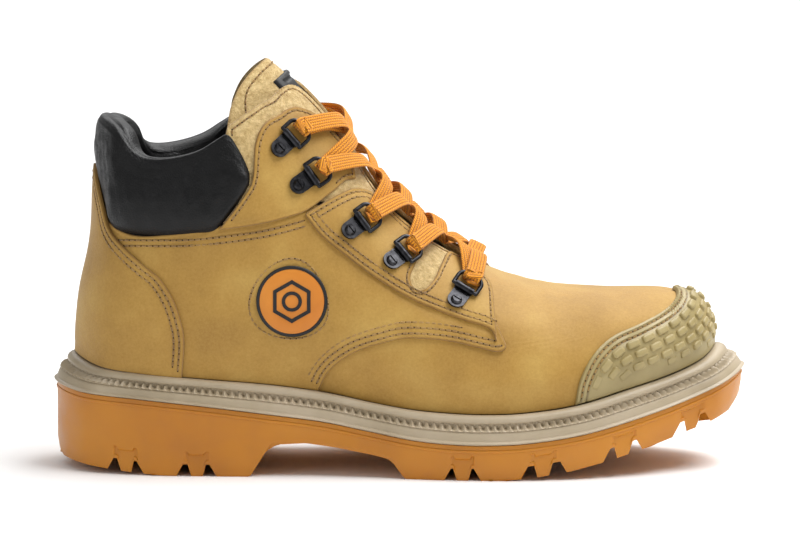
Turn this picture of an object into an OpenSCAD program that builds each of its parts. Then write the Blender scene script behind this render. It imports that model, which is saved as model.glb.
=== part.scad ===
// Laced ankle work boot with a steel toe cap, right foot.
// +X points to the toe, +Z up, the outer (little-toe) side is at -Y. Millimetres.

/* [Leather] */
// Thickness of each leather panel
leather_t = 1.6; // [1.2:0.1:1.8]
// Gap between stacked layers
layer_gap = 0.1; // [0.1:0.05:0.2]
// Thickness of the linings
lining_t = 1.4; // [1:0.1:1.5]
// Thickness of the collar's leather
collar_leather_t = 1.2; // [1:0.1:1.6]
// Thickness of the collar foam
collar_foam_t = 8; // [5:1:9]

/* [Toe protection] */
// Wall of the steel toe cap
cap_t = 1.8; // [1.5:0.1:2]
// Thickness of the rubber toe guard
guard_t = 1.8; // [1.2:0.1:2.2]

/* [Sole] */
// Height of the tread lugs
lug_h = 6; // [4:0.5:7]
// Height of the heel breast above the ground
breast_h = 15; // [12:0.5:16]
// Thickness of the insole board
board_t = 2; // [1.5:0.1:2.2]
// Thickness of the puncture plate
plate_t = 0.8; // [0.5:0.1:1]
// Thickness of the footbed
footbed_t = 4.5; // [3:0.5:6]

/* [Lace clips] */
// Diameter of the D-ring wire
wire_d = 1.8; // [1.5:0.1:2]
// Width of each D-ring between the centres of its legs
ring_w = 11.2; // [10.8:0.2:12]
// Reach of each D-ring from its hinge to the middle of its front wire
ring_reach = 7.4; // [7:0.1:8]
// Lift of the resting D-rings off the leather, in degrees
ring_lift = 8; // [7:1:12]
// Radial clearance of the ring in its barrel
ring_clear = 0.06; // [0.03:0.01:0.09]
// Corner radius of each D-ring
ring_corner_r = 3.2; // [2.6:0.1:3.6]

/* [Lace] */
// Width of the flat lace
lace_w = 7.4; // [6:0.2:7.6]
// Thickness of the flat lace
lace_t = 1.3; // [1:0.1:1.4]

/* [Hidden] */

// The boot's form: five rails on the outer side, each running from the heel's centre line to
// the toe's, from the featherline where the upper meets the welt up to the instep's ridge.
feather = [[-140, 0, 49.5], [-129, -23.5, 46], [-110, -31.5, 44], [-84, -34, 42], [-58, -35, 40],
    [-34, -36, 37], [-14, -38.5, 33], [4, -41.5, 30], [20, -44, 28.7], [36, -46, 28.3],
    [54, -46.3, 29], [76, -43.8, 32], [98, -37.3, 38], [117, -27, 43], [131, -14.5, 48],
    [137, 3, 52.5]];
flank = [[-138.5, 0, 73], [-128, -25, 70], [-109, -34.5, 68], [-84, -38, 66], [-59.5, -39.5, 65],
    [-37, -41, 62], [-18, -43, 57], [0, -45, 52], [17, -47, 48], [34, -48.5, 46],
    [53, -48, 46], [75, -45, 48], [97, -39, 52], [116, -29, 56], [130, -16, 58],
    [136, 3, 62]];
waist = [[-133.2, 0, 100], [-124.5, -23, 100], [-106.5, -32, 100], [-84.5, -36.5, 100], [-62, -38, 99],
    [-42.5, -38, 96], [-26, -38, 90], [-8, -38.5, 83], [10, -39, 76], [29, -39.5, 70],
    [50, -38.5, 67], [72, -36, 65], [94, -31.5, 67], [112.5, -23.5, 68], [125.5, -13, 69.5],
    [131.5, 3, 71]];
cuff = [[-131.2, 0, 133], [-122.5, -21.5, 133], [-105.5, -30, 134], [-85, -34, 136], [-66, -33.5, 138],
    [-51, -29.5, 138], [-35, -24, 136.5], [-19, -21, 123], [-1, -20, 105], [20, -20, 92],
    [43, -19.5, 82], [66, -18, 76.5], [88, -16, 75.5], [106, -11, 75.5], [118.5, -6, 75.5],
    [125, 3, 75]];
ridge = [[-129.5, 0, 166], [-121, -20, 167], [-106, -28, 170], [-88, -30, 174], [-74, -27, 178],
    [-64, -18, 182], [-57, 0, 184], [-32, 0, 156], [-13, 0, 126], [10, 0, 102],
    [36, 0.5, 87], [60, 1, 79.5], [82, 1.6, 77], [100, 2.2, 77.4], [111, 2.6, 77.2],
    [118, 2.9, 75.8]];
// Outer edge of the sole where the welt meets the outsole
sole_edge = [[-151.5, 0, 37], [-139.5, -28.5, 35.3], [-113, -39.5, 33.5], [-85, -42.5, 30.8],
    [-58, -43.5, 27.6], [-34, -44, 24.5], [-13, -46.5, 20.5], [5, -50, 17.3], [21, -53, 15.9],
    [37, -54.5, 15.6], [56, -54.7, 16.6], [80, -51.5, 20], [104, -44, 26], [125, -32, 32],
    [142, -21, 38.5], [151, 3, 42.8]];
ncol = len(feather);
last_col = ncol - 1;
last_row = 4;
first_ridge_col = 6;

// Plan centre line: straight at the heel, swinging inwards at the toe
swing_start = -20;
swing_len = 140;
swing = 3;
function centre_y(x) = swing * pow(min(max((x - swing_start) / swing_len, 0), 1), 2);
function flip(p) = [p[0], 2 * centre_y(p[0]) - p[1], p[2]];
function flip_about(p, c) = [p[0], 2 * c - p[1], p[2]];

// Catmull-Rom spline through b and c
function spline(a, b, c, d, t) = b + t * (c - a) / 2 + t * t * (2 * a - 5 * b + 4 * c - d) / 2
    + t * t * t * (3 * b - a - 3 * c + d) / 2;
function padded(row) = concat([flip_about(row[1], row[0][1])], row,
    [flip_about(row[ncol - 2], row[last_col][1])]);
rails = [padded(feather), padded(flank), padded(waist), padded(cuff), padded(ridge)];
below = [for (i = [0:ncol + 1]) 2 * rails[0][i] - rails[1][i]];
above = [for (i = [0:ncol + 1]) i > first_ridge_col
    ? flip_about(rails[3][i], rails[4][i][1]) : 2 * rails[4][i] - rails[3][i]];
net = concat([below], rails, [above]);
sole_net = padded(sole_edge);

function on_rail(row, a) = let (x = min(max(a, 0), last_col), i = min(floor(x), last_col - 1))
    spline(row[i], row[i + 1], row[i + 2], row[i + 3], x - i);
function half_form(a, b) = let (y = min(max(b, 0), last_row), j = min(floor(y), last_row - 1))
    spline(on_rail(net[j], a), on_rail(net[j + 1], a), on_rail(net[j + 2], a),
        on_rail(net[j + 3], a), y - j);
step = 0.03;
function half_normal(a, b) = let (
    da = half_form(a + step, b) - half_form(a - step, b),
    db = half_form(a, b + step) - half_form(a, b - step), n = cross(da, db)) n / norm(n);
function half_point(a, b, off) = let (p = half_form(a, b) + off * half_normal(a, b))
    [p[0], min(p[1], centre_y(p[0])), p[2]];
// A point at column a and row b, off millimetres outside the form. Columns below 0 and above
// the toe's, and rows above the ridge, lie on the inner side.
function form(a, b, off = 0) = b > last_row ? flip(form(a, 2 * last_row - b, off))
    : a < 0 ? flip(half_point(-a, b, off))
    : a > last_col ? flip(half_point(2 * last_col - a, b, off))
    : a == 0 || a == last_col
        ? let (p = half_point(a, b, off)) [p[0], centre_y(p[0]), p[2]]
    : half_point(a, b, off);

// A closed panel between an outer and an inner sheet of points, each a grid of rows.
// open_end leaves out the wall at the last row, where a sheet folds back onto itself.
module shell_between(outer, inner, open_end = false) {
    rows = len(outer);
    cols = len(outer[0]);
    size = rows * cols;
    function top(i, j) = i * cols + j;
    function low(i, j) = size + i * cols + j;
    pts = [for (sheet = [outer, inner], row = sheet, p = row) p];
    sheets = [for (i = [0:rows - 2], j = [0:cols - 2]) each [
        [top(i, j), top(i + 1, j + 1), top(i + 1, j)], [top(i, j), top(i, j + 1), top(i + 1, j + 1)],
        [low(i, j), low(i + 1, j), low(i + 1, j + 1)], [low(i, j), low(i + 1, j + 1), low(i, j + 1)]]];
    sides = [for (i = [0:rows - 2]) each [
        [top(i, 0), low(i + 1, 0), low(i, 0)], [top(i, 0), top(i + 1, 0), low(i + 1, 0)],
        [top(i, cols - 1), low(i, cols - 1), low(i + 1, cols - 1)],
        [top(i, cols - 1), low(i + 1, cols - 1), top(i + 1, cols - 1)]]];
    start = [for (j = [0:cols - 2]) each [
        [top(0, j), low(0, j), low(0, j + 1)], [top(0, j), low(0, j + 1), top(0, j + 1)]]];
    end = open_end ? [] : [for (j = [0:cols - 2]) each [
        [top(rows - 1, j), low(rows - 1, j + 1), low(rows - 1, j)],
        [top(rows - 1, j), top(rows - 1, j + 1), low(rows - 1, j + 1)]]];
    polyhedron(points = pts, faces = concat(sheets, sides, start, end), convexity = 10);
}

// The point a fraction s of the way along a list of points
function along(line, s) = let (x = s * (len(line) - 1), i = min(floor(x), len(line) - 2))
    line[i] + (x - i) * (line[i + 1] - line[i]);
function mirrored(line) = concat([for (i = [len(line) - 1:-1:1]) [-line[i][0], line[i][1]]], line);
function over_toe(line) = concat(line,
    [for (i = [len(line) - 2:-1:0]) [2 * last_col - line[i][0], line[i][1]]]);
function smooth(lo, hi, x) = let (t = min(max((x - lo) / (hi - lo), 0), 1)) t * t * (3 - 2 * t);

// How far the lining stands inside the form, to make room for the collar's foam
function collar_room(a, b) = collar_foam_t * smooth(1.9, 2.5, b) * (1 - smooth(3, 4, abs(a)));

// A panel of leather from its low edge to its high edge, between two offsets from the form
module panel(low_edge, high_edge, off_in, off_out, n = 20, m = 8, side = 1, room = 0) {
    function at(i, j, off) = let (
        p = along(low_edge, i / n), q = along(high_edge, i / n), r = p + (j / m) * (q - p),
        a = side * r[0]) form(a, r[1], off - room * collar_room(a, r[1]));
    outer = [for (i = [0:n]) [for (j = [0:m]) at(i, j, off_out)]];
    inner = [for (i = [0:n]) [for (j = [0:m]) at(i, j, off_in)]];
    if (side > 0) shell_between(outer, inner);
    else shell_between(inner, outer);
}

// A panel that covers the toe from side to side. back_edge gives its rear column for each row.
function back_column(back_edge, b) = let (r = b > last_row ? 2 * last_row - b : b)
    lookup(r, [for (p = back_edge) [p[1], p[0]]]);
module toe_panel(back_edge, drop_in, drop_out, front = last_col, n = 12, m = 24) {
    function at(i, j, out) = let (b = 2 * last_row * j / m, a0 = back_column(back_edge, b),
        a = a0 + (front - a0) * i / n) form(a, b, out ? drop_out(a) : drop_in(a));
    outer = [for (i = [0:n]) [for (j = [0:m]) at(i, j, true)]];
    inner = [for (i = [0:n]) [for (j = [0:m]) at(i, j, false)]];
    shell_between(outer, inner, open_end = front == last_col);
}

first_off = layer_gap;
first_top = first_off + leather_t;
second_off = first_top + layer_gap;
second_top = second_off + leather_t;

// Panel outlines in columns and rows of the form
backstay_edge = [[0, 2.98], [0.28, 2.85], [0.68, 2.48], [0.95, 2.2], [1.45, 1.92], [1.85, 1.73],
    [2.15, 1.6], [2.4, 1.37], [2.55, 1.1], [2.63, 0.7]];
collar_low = [[0, 3.02], [0.3, 2.9], [0.72, 2.53], [1.0, 2.25], [1.5, 2.18], [2.15, 2.17],
    [3.2, 2.22], [3.5, 2.45], [3.8, 2.64], [3.95, 2.74]];
topline = [[0, 3.72], [0.35, 3.71], [0.75, 3.67], [1.25, 3.47], [1.62, 3.25], [2.2, 3.18],
    [2.85, 3.22], [3.5, 3.28], [3.85, 2.95], [3.98, 2.8]];
foam_low = [[0, 2.95], [0.35, 2.75], [0.7, 2.45], [1, 2.25], [1.6, 2.22], [2.3, 2.22], [3, 2.27],
    [3.3, 2.5]];
foam_high = [[0, 3.6], [0.4, 3.58], [0.75, 3.55], [1.2, 3.38], [1.6, 3.15], [2.2, 3.08], [2.8, 3.1],
    [3.4, 3.1]];
facing_back = [[3.62, 3.32], [3.95, 2.95], [4.05, 2.75], [3.65, 2.5], [3.35, 2.3], [4.1, 2.34],
    [5.3, 2.57], [6.2, 2.6], [6.9, 2.3], [7.7, 2.16], [8.5, 2.09], [9.5, 2.02]];
facing_edge = [[3.68, 3.4], [4.2, 3.48], [4.8, 3.56], [5.4, 3.54], [5.85, 3.52], [6.35, 3.58],
    [6.75, 3.62], [7.1, 3.57], [7.6, 3.43], [8.2, 3.34], [8.9, 3.32], [9.7, 3.42]];
top_eyestay_low = [[3.42, 2.25], [3.7, 2.26], [4.1, 2.3], [4.55, 2.36], [5.2, 2.47], [5.65, 2.59],
    [6.15, 2.75], [6.95, 3.08]];
top_eyestay_high = [[3.53, 2.36], [4.02, 2.68], [4.15, 3], [4.32, 3.22], [4.8, 3.38], [5.65, 3.365],
    [6.35, 3.39], [7.0, 3.4]];
low_eyestay_low = [[5.27, 2.42], [5.55, 2.31], [5.9, 2.23], [6.3, 2.17], [6.75, 2.09], [7.15, 2.04],
    [7.42, 2], [7.5, 1.99], [7.6, 1.98], [7.8, 1.965], [8.05, 1.95], [8.25, 1.935], [8.4, 1.93],
    [8.6, 1.915], [9.05, 1.88], [9.5, 1.82]];
low_eyestay_high = [[5.4, 2.49], [5.9, 2.62], [6.4, 2.77], [6.9, 2.95], [7.4, 3.13], [7.8, 3.22],
    [8.6, 3.2], [8.2, 2.6], [7.83, 2.27], [7.76, 2.15], [7.95, 2.14], [8.23, 2.28], [8.55, 2.52],
    [9, 3.08], [9.3, 3.2], [9.66, 3.1]];
quarter_low = [[2, 0], [2.8, 0], [3.5, 0], [4.2, 0], [4.93, 0], [5.2, 0.42], [5.8, 0.87],
    [6.75, 1.23], [7.98, 1.48], [9, 1.5], [9.7, 1.45]];
quarter_high = [[0.65, 2.32], [1.5, 2.12], [2.3, 2.12], [3.3, 2.25], [4.3, 2.35], [5.3, 2.53],
    [6.2, 2.38], [7, 2.22], [7.8, 2.1], [8.7, 2.02], [9.6, 1.96]];
vamp_back = [[4.8, 0], [5.05, 0.4], [5.4, 0.7], [5.9, 0.97], [6.6, 1.25], [7.9, 1.55], [9, 1.7],
    [9.5, 1.9], [9.6, 2.3], [9.65, 2.8], [9.8, 3.2], [10, 3.6], [10.15, 4]];
guard_low = [[11, 0], [11.5, 0], [12, 0], [12.6, 0], [13.2, 0], [13.8, 0], [14.4, 0], [15, 0]];
guard_high = [[11.1, 0.5], [11.22, 0.95], [11.5, 1.3], [12.1, 1.7], [12.9, 2], [13.6, 2.35],
    [14.3, 2.9], [15, 3.62]];
lining_low = [[0, 0], [1.2, 0], [2.4, 0], [3.6, 0], [4.6, 0], [5, 0.6], [5.9, 1.15], [6.9, 1.45],
    [7.9, 1.7], [8.7, 1.85], [9.2, 2]];
lining_high = [[0, 3.66], [0.75, 3.6], [1.62, 3.18], [2.43, 3.12], [3.55, 3.22], [4.4, 3.45],
    [5.8, 3.5], [6.6, 3.58], [7.3, 3.45], [8.2, 3.28], [9, 3.24]];
cap_back = [[11.8, 0], [11.75, 2], [11.9, 4]];
strip_back = [[11.45, 0], [11.4, 2], [11.55, 4]];
vamp_lining_back = [[4.6, 0], [5.2, 0.85], [6.2, 1.3], [7.9, 1.75], [9.1, 2.1], [9.4, 3], [9.9, 4]];

module leather_colour() { color([0.78, 0.6, 0.32]) children(); }
module suede_colour() { color([0.8, 0.68, 0.46]) children(); }
module lining_colour() { color([0.25, 0.24, 0.22]) children(); }

toe_rows = 28;
loose_gap = 0.45;
module vamp() {
    leather_colour() toe_panel(vamp_back, function(a) -leather_t, function(a) 0, n = 20, m = toe_rows);
}
module vamp_lining() {
    duck = leather_t + loose_gap;
    room = cap_t + loose_gap;
    function under(a) = -duck - room * smooth(10.6, 11.3, a);
    lining_colour() toe_panel(vamp_lining_back, function(a) under(a) - lining_t,
        function(a) under(a), n = 16, m = toe_rows);
}
module steel_toe_cap() {
    outer = -leather_t - loose_gap;
    color([0.6, 0.62, 0.64]) toe_panel(cap_back, function(a) outer - cap_t, function(a) outer, n = 12,
        m = toe_rows);
}
module toe_cap_edge_strip() {
    outer = -leather_t - loose_gap;
    strip_w = 0.25;
    n = 2;
    m = toe_rows;
    function at(i, j, off) = let (b = 2 * last_row * j / m)
        form(back_column(strip_back, b) + strip_w * i / n, b, off);
    color([0.15, 0.15, 0.15]) shell_between([for (i = [0:n]) [for (j = [0:m]) at(i, j, outer)]],
        [for (i = [0:n]) [for (j = [0:m]) at(i, j, outer - cap_t)]]);
}
guard_gap = 0.3;
module toe_guard() {
    color([0.62, 0.56, 0.36]) panel(over_toe(guard_low), over_toe(guard_high), guard_gap,
        guard_gap + guard_t, n = 32, m = 10);
}
module quarter(side) {
    leather_colour() panel(quarter_low, quarter_high, first_off, first_top, n = 20, m = 8, side = side);
}
module backstay() {
    low_line = [for (p = backstay_edge) [p[0], 0]];
    leather_colour() panel(mirrored(low_line), mirrored(backstay_edge), second_off, second_top,
        n = 24, m = 8);
}
module heel_stiffener() {
    low_line = [[0, 0], [0.6, 0], [1.2, 0], [1.8, 0]];
    high_line = [[0, 1.9], [0.5, 1.8], [0.9, 1.5], [1.2, 1.1]];
    stiffener_t = 1.2;
    color([0.85, 0.82, 0.75]) panel(mirrored(low_line), mirrored(high_line), first_off,
        first_off + stiffener_t, n = 18, m = 6);
}
module collar_cover() {
    color([0.08, 0.08, 0.08]) panel(mirrored(collar_low), mirrored(topline), second_off,
        second_off + collar_leather_t, n = 36, m = 6);
}
module collar_foam() {
    n = 28;
    m = 5;
    lows = mirrored(foam_low);
    highs = mirrored(foam_high);
    function at(i, j, deep) = let (p = along(lows, i / n), q = along(highs, i / n),
        r = p + (j / m) * (q - p)) form(r[0], r[1], deep
            ? loose_gap - collar_room(r[0], r[1]) : first_top - layer_gap);
    color([0.85, 0.8, 0.55]) shell_between([for (i = [0:n]) [for (j = [0:m]) at(i, j, false)]],
        [for (i = [0:n]) [for (j = [0:m]) at(i, j, true)]]);
}
module quarter_lining() {
    lining_colour() panel(mirrored(lining_low), mirrored(lining_high), -lining_t - loose_gap, -loose_gap,
        n = 44, m = 10, room = 1);
}
module facing(side) {
    suede_colour() panel(facing_back, facing_edge, first_off, first_top, n = 22, m = 6, side = side);
}
module eyestay_top(side) {
    leather_colour() panel(top_eyestay_low, top_eyestay_high, second_off, second_top, n = 14, m = 6,
        side = side);
}
module eyestay_low(side) {
    leather_colour() panel(low_eyestay_low, low_eyestay_high, second_off, second_top, n = 30, m = 6,
        side = side);
}

// Sole parts follow the featherline or the sole's edge. inset is measured towards the middle.
function inset_point(a, inset) = let (p = on_rail(net[1], a), c = [p[0], centre_y(p[0]), p[2]],
    e = on_rail(net[1], min(a + step, last_col)) - on_rail(net[1], max(a - step, 0)),
    d = [-e[1], e[0], 0] / norm([e[0], e[1]])) p + inset * d;
// Height of the last's underside, which the parts under the foot follow
function last_z(x) = lookup(x, [for (p = feather) [p[0], p[2]]]);
module slab(inset, low, high, a0 = 0.4, a1 = 14.6, width = 1, n = 26, m = 4) {
    function at(i, j, lift) = let (a = a0 + (a1 - a0) * i / n, p = inset_point(a, inset),
        c = centre_y(p[0]), t = (2 * j / m - 1) * width)
        [p[0], c + t * (c - p[1]), last_z(p[0]) + lift];
    outer = [for (i = [0:n]) [for (j = [0:m]) at(i, j, high)]];
    inner = [for (i = [0:n]) [for (j = [0:m]) at(i, j, low)]];
    shell_between(outer, inner);
}
board_top = -0.3;
board_low = board_top - board_t;
sheet_gap = 0.25;
plate_top = board_low - sheet_gap;
plate_low = plate_top - plate_t;
shank_h = 2;
shank_top = plate_low - sheet_gap;
// How far each part stands in from the featherline
board_inset = 4;
plate_inset = 6;
footbed_inset = 8;
module insole_board() { color([0.75, 0.65, 0.5]) slab(board_inset, board_low, board_top); }
module footbed() {
    color([0.2, 0.2, 0.22]) slab(footbed_inset, layer_gap, layer_gap + footbed_t, a0 = 0.7, a1 = 14.2);
}
module puncture_plate() { color([0.7, 0.7, 0.72]) slab(plate_inset, plate_low, plate_top); }
module shank() {
    color([0.5, 0.5, 0.52]) slab(plate_inset, shank_top - shank_h, shank_top, a0 = 2.6, a1 = 7,
        width = 0.25, n = 10, m = 2);
}

// Column a fraction t of the way round the outer side, closer together at the heel and the toe;
// beyond 1 it comes back along the inner side
function round_column(t) = last_col * (1 - cos(180 * t)) / 2;

// The welt: one moulded ring round the whole sole, its section going from the bottom outer edge
// up over the band, the ridge and the rolled top to the featherline
module welt() {
    n = 64;
    tuck = 3;
    function ring(k) = let (right = k > n / 2, a = round_column(2 * k / n),
        f = on_rail(net[1], a), o = on_rail(sole_net, a),
        way = [o[0] - f[0], o[1] - f[1]], d = way / norm(way), w = norm(way), z0 = o[2] + 0.1,
        z1 = f[2] - 0.5, h = z1 - z0,
        section = [[-tuck, 0], [w - 0.3, 0], [w, 0.6], [w, 0.33 * h], [w - 0.9, 0.36 * h],
            [w - 0.5, 0.58 * h], [w - 1, 0.66 * h], [w - 0.4, 0.8 * h], [w - 2.2, h], [-tuck, h]],
        pts = [for (s = section) [f[0] + s[0] * d[0], f[1] + s[0] * d[1], z0 + s[1]]])
        right ? [for (p = pts) flip(p)] : pts;
    rings = [for (k = [0:n - 1]) ring(k)];
    m = len(rings[0]);
    function id(k, j) = (k % n) * m + (j % m);
    faces = [for (k = [0:n - 1], j = [0:m - 1]) each [
        [id(k, j), id(k + 1, j + 1), id(k + 1, j)], [id(k, j), id(k, j + 1), id(k + 1, j + 1)]]];
    color([0.62, 0.57, 0.48])
        polyhedron(points = [for (r = rings, p = r) p], faces = faces, convexity = 10);
}

// Height of the outsole's top, of its underside between the lugs, and of the ground line
sole_top = [[-152, 37], [-139, 35.3], [-113, 33.5], [-85, 30.8], [-58, 27.6], [-34, 24.5], [-13, 20.5],
    [5, 17.3], [21, 15.9], [37, 15.6], [56, 16.6], [80, 20], [104, 26], [125, 32], [141, 38], [152, 43]];
tread_line = [[-152, 7], [-149, 4.5], [-135, 3], [-118, 1.2], [-102, 0], [45, 0], [60, 1.6], [75, 4],
    [90, 7.6], [105, 11.8], [120, 16.2], [136, 21.5], [145, 25], [150, 30], [152, 34]];
// Lugs along the side: rear and front of each, at the ground
heel_lugs = [[-152, -125], [-114, -97], [-82, -62]];
fore_lugs = [[6, 20], [34, 54], [71, 89], [104, 120], [134, 152]];
lug_draft = 1.5;
function tread_z(x) = lookup(x, tread_line);
function top_z(x) = lookup(x, sole_top);
function lug_outline(lugs, depth) = [for (l = lugs) each [
    [l[0] - lug_draft, tread_z(l[0] - lug_draft) + depth], [l[0], tread_z(l[0])],
    each [for (t = tread_line) if (t[0] > l[0] && t[0] < l[1]) t], [l[1], tread_z(l[1])],
    [l[1] + lug_draft, tread_z(l[1] + lug_draft) + depth]]];
breast = [[-55, 14.5], [-41, breast_h], [-28, 13.2], [-12, 10.3], [-3, 8.3]];
function side_profile(depth, heel, fore) = concat(
    [for (i = [len(sole_top) - 1:-1:0]) [sole_top[i][0], sole_top[i][1] - sheet_gap]],
    [for (p = lug_outline(heel, depth)) if (p[0] >= -152) p], breast,
    [for (p = lug_outline(fore, depth)) if (p[0] <= 152 && p[0] > 3) p]);
function plan(inset, n) = [for (k = [0:2 * n - 1]) let (a = round_column(k / n),
    p = on_rail(sole_net, a),
    e = on_rail(sole_net, min(a + step, last_col)) - on_rail(sole_net, max(a - step, 0)),
    d = [-e[1], e[0]] / norm([e[0], e[1]]), q = [p[0], p[1]] + inset * d)
    k > n ? [q[0], 2 * centre_y(q[0]) - q[1]] : k % n == 0 ? [q[0], centre_y(q[0])] : q];
module upright(h) { rotate([90, 0, 0]) linear_extrude(h, center = true) children(); }
module outsole() {
    tall = 50;
    wide = 120;
    rim_w = 17;
    color([0.78, 0.48, 0.16]) difference() {
        intersection() {
            linear_extrude(tall) polygon(plan(0.6, 28));
            upright(wide) polygon(side_profile(lug_h, heel_lugs, fore_lugs));
        }
        // lengthwise grooves inside the ring of edge lugs, in the heel and in the forefoot
        intersection() {
            linear_extrude(tall) polygon(plan(rim_w, 20));
            upright(wide) polygon(concat([[-130, -1], [-62, -1], [-62, lug_h + 1.5], [-130, lug_h + 4]]));
        }
        intersection() {
            linear_extrude(tall) polygon(plan(rim_w, 20));
            upright(wide) polygon([[6, -1], [50, -1], [128, 12], [128, 25], [105, 17], [75, 9.5],
                [48, lug_h], [6, lug_h]]);
        }
    }
}
module midsole() {
    n = 26;
    m = 4;
    a0 = 0.5;
    a1 = 14.5;
    inset = 3.6;
    roof = shank_top - shank_h - sheet_gap;
    function at(i, j, up) = let (p = inset_point(a0 + (a1 - a0) * i / n, inset), c = centre_y(p[0]),
        z = up ? last_z(p[0]) + roof : top_z(p[0]) + 0.1) [p[0], c + (2 * j / m - 1) * (c - p[1]), z];
    color([0.66, 0.6, 0.5]) shell_between([for (i = [0:n]) [for (j = [0:m]) at(i, j, true)]],
        [for (i = [0:n]) [for (j = [0:m]) at(i, j, false)]]);
}

// The tongue's centre line from its root in the vamp to its free top, as x and z
tongue_line = [[52, 76.8], [40, 78.6], [22, 86], [3, 100.5], [-14, 119], [-26, 137], [-37, 155],
    [-48, 169.5], [-58, 179.5]];
tongue_half_w = [13, 14, 15.5, 17.5, 19, 20.5, 23.5, 25.5, 22];
tongue_sag = [3, 4, 5, 6, 7, 9, 17, 31, 31];
function tongue_point(s, t, off) = let (x = s * (len(tongue_line) - 1), h = 0.02,
    p = along(tongue_line, s), e = along(tongue_line, min(s + h, 1)) - along(tongue_line, max(s - h, 0)),
    n = [-e[1], e[0]] / norm(e) * -1, w = along(tongue_half_w, s), g = along(tongue_sag, s),
    lift = off - g * t * t) [p[0] + lift * n[0], w * t + centre_y(p[0]), p[1] + lift * n[1]];
module tongue_layer(off_in, off_out, s0 = 0, s1 = 1, width = 1, n = 16, m = 8) {
    function at(i, j, off) = tongue_point(s0 + (s1 - s0) * i / n, width * (2 * j / m - 1), off);
    shell_between([for (i = [0:n]) [for (j = [0:m]) at(i, j, off_in)]],
        [for (i = [0:n]) [for (j = [0:m]) at(i, j, off_out)]]);
}
tongue_foam_t = 5.5;
tongue_shell_t = 1.4;
tongue_gap = 0.4;
tongue_foam_top = -tongue_shell_t - tongue_gap;
tongue_lining_top = tongue_foam_top - tongue_foam_t - tongue_gap;
foam_start = 0.25;
foam_w = 0.9;
module tongue_shell() { suede_colour() tongue_layer(-tongue_shell_t, 0); }
module tongue_foam() {
    color([0.85, 0.8, 0.55]) tongue_layer(tongue_foam_top - tongue_foam_t, tongue_foam_top,
        s0 = foam_start, width = foam_w, n = 12);
}
module tongue_lining() {
    lining_colour() tongue_layer(tongue_lining_top - lining_t, tongue_lining_top,
        s0 = foam_start, width = foam_w, n = 12);
}
label_t = 1.1;
label_gap = 0.4;
module tongue_label() {
    color([0.1, 0.1, 0.1]) tongue_layer(label_gap, label_gap + label_t, s0 = 0.81, s1 = 0.91,
        width = 0.42, n = 3, m = 4);
}
module badge() {
    centre = [4.62, 1.43];
    badge_r = 15.5;
    p = form(centre[0], centre[1], first_top + 0.05);
    n = half_normal(centre[0], centre[1]);
    color([0.85, 0.48, 0.15]) translate(p) rotate([90 - asin(n[2]), 0, atan2(n[1], n[0]) + 90])
        cylinder(r = badge_r, h = 1.2, $fn = 64);
}

// Lace hardware. Each clip sits at the middle of its barrel, [column, row], outermost ring first
// at the top, and its barrel runs from one point of the pair to the other.
barrel_ends = [[[5.15, 3.23], [5.37, 3.09]], [[5.48, 2.88], [5.67, 2.75]], [[6.63, 2.62], [6.87, 2.54]],
    [[7.62, 2.57], [7.84, 2.47]], [[8.9, 2.43], [9.2, 2.34]]];
barrel_wall = 0.7;
wire_r = wire_d / 2;
bore_r = wire_r + ring_clear;
barrel_r = bore_r + barrel_wall;
hinge_off = second_top + 0.1 + barrel_r;
barrel_len = ring_w - wire_d - 0.6;
plate_len = 11;
plate_w = 8;
clip_t = 1;
rivet_r = 1.4;
rivet_back = 5.2;

// The frame of clip i on a side: origin, barrel direction, reach direction and outward normal
function clip_frame(i, side) = let (e = barrel_ends[i], p = form(side * e[0][0], e[0][1]),
    q = form(side * e[1][0], e[1][1]), mid = (e[0] + e[1]) / 2, hn = half_normal(mid[0], mid[1]),
    n = side > 0 ? hn : [hn[0], -hn[1], hn[2]], raw = q - p, along_n = raw * n,
    flat = raw - along_n * n, bar = flat / norm(flat) * side, reach = cross(bar, n) * -1,
    o = form(side * mid[0], mid[1]) + hinge_off * n) [o, bar, reach, n];
module in_frame(f) {
    multmatrix([[f[1][0], f[2][0], f[3][0], f[0][0]], [f[1][1], f[2][1], f[3][1], f[0][1]],
        [f[1][2], f[2][2], f[3][2], f[0][2]], [0, 0, 0, 1]]) children();
}
module clip_plate_outline(grow) {
    translate([-plate_w / 2 - grow, -plate_len + plate_w / 2])
        square([plate_w + 2 * grow, plate_len - plate_w / 2]);
    translate([0, -plate_len + plate_w / 2]) circle(r = plate_w / 2 + grow, $fn = 48);
}
module clip() {
    rim = 0.8;
    difference() {
        union() {
            rotate([0, 90, 0]) cylinder(r = barrel_r, h = barrel_len, center = true, $fn = 40);
            translate([0, 0, -barrel_r]) linear_extrude(clip_t) clip_plate_outline(0);
        }
        rotate([0, 90, 0]) cylinder(r = bore_r, h = barrel_len + 1, center = true, $fn = 40);
        translate([0, 0, -barrel_r + clip_t - 0.35]) linear_extrude(0.5) difference() {
            clip_plate_outline(-rim);
            translate([-plate_w, -barrel_r - 0.6]) square([2 * plate_w, plate_w]);
        }
        translate([0, -plate_len + plate_w / 2, -barrel_r - 1])
            cylinder(r = rivet_r + 0.05, h = 3, $fn = 40);
    }
}
module rivet() {
    head_r = 2.5;
    translate([0, -plate_len + plate_w / 2, 0]) difference() {
        union() {
            translate([0, 0, -barrel_r - rivet_back]) cylinder(r = rivet_r, h = rivet_back + 1.2, $fn = 32);
            translate([0, 0, -barrel_r + clip_t]) cylinder(r1 = head_r, r2 = head_r - 0.7, h = 1, $fn = 32);
            translate([0, 0, -barrel_r - rivet_back]) cylinder(r = 3, h = 0.7, $fn = 32);
        }
        translate([-head_r - 1, -0.35, -barrel_r + clip_t + 0.5]) cube([2 * head_r + 2, 0.7, 1]);
    }
}
module wire_bar(len) { rotate([0, 90, 0]) cylinder(r = wire_r, h = len, center = true, $fn = 32); }
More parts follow.
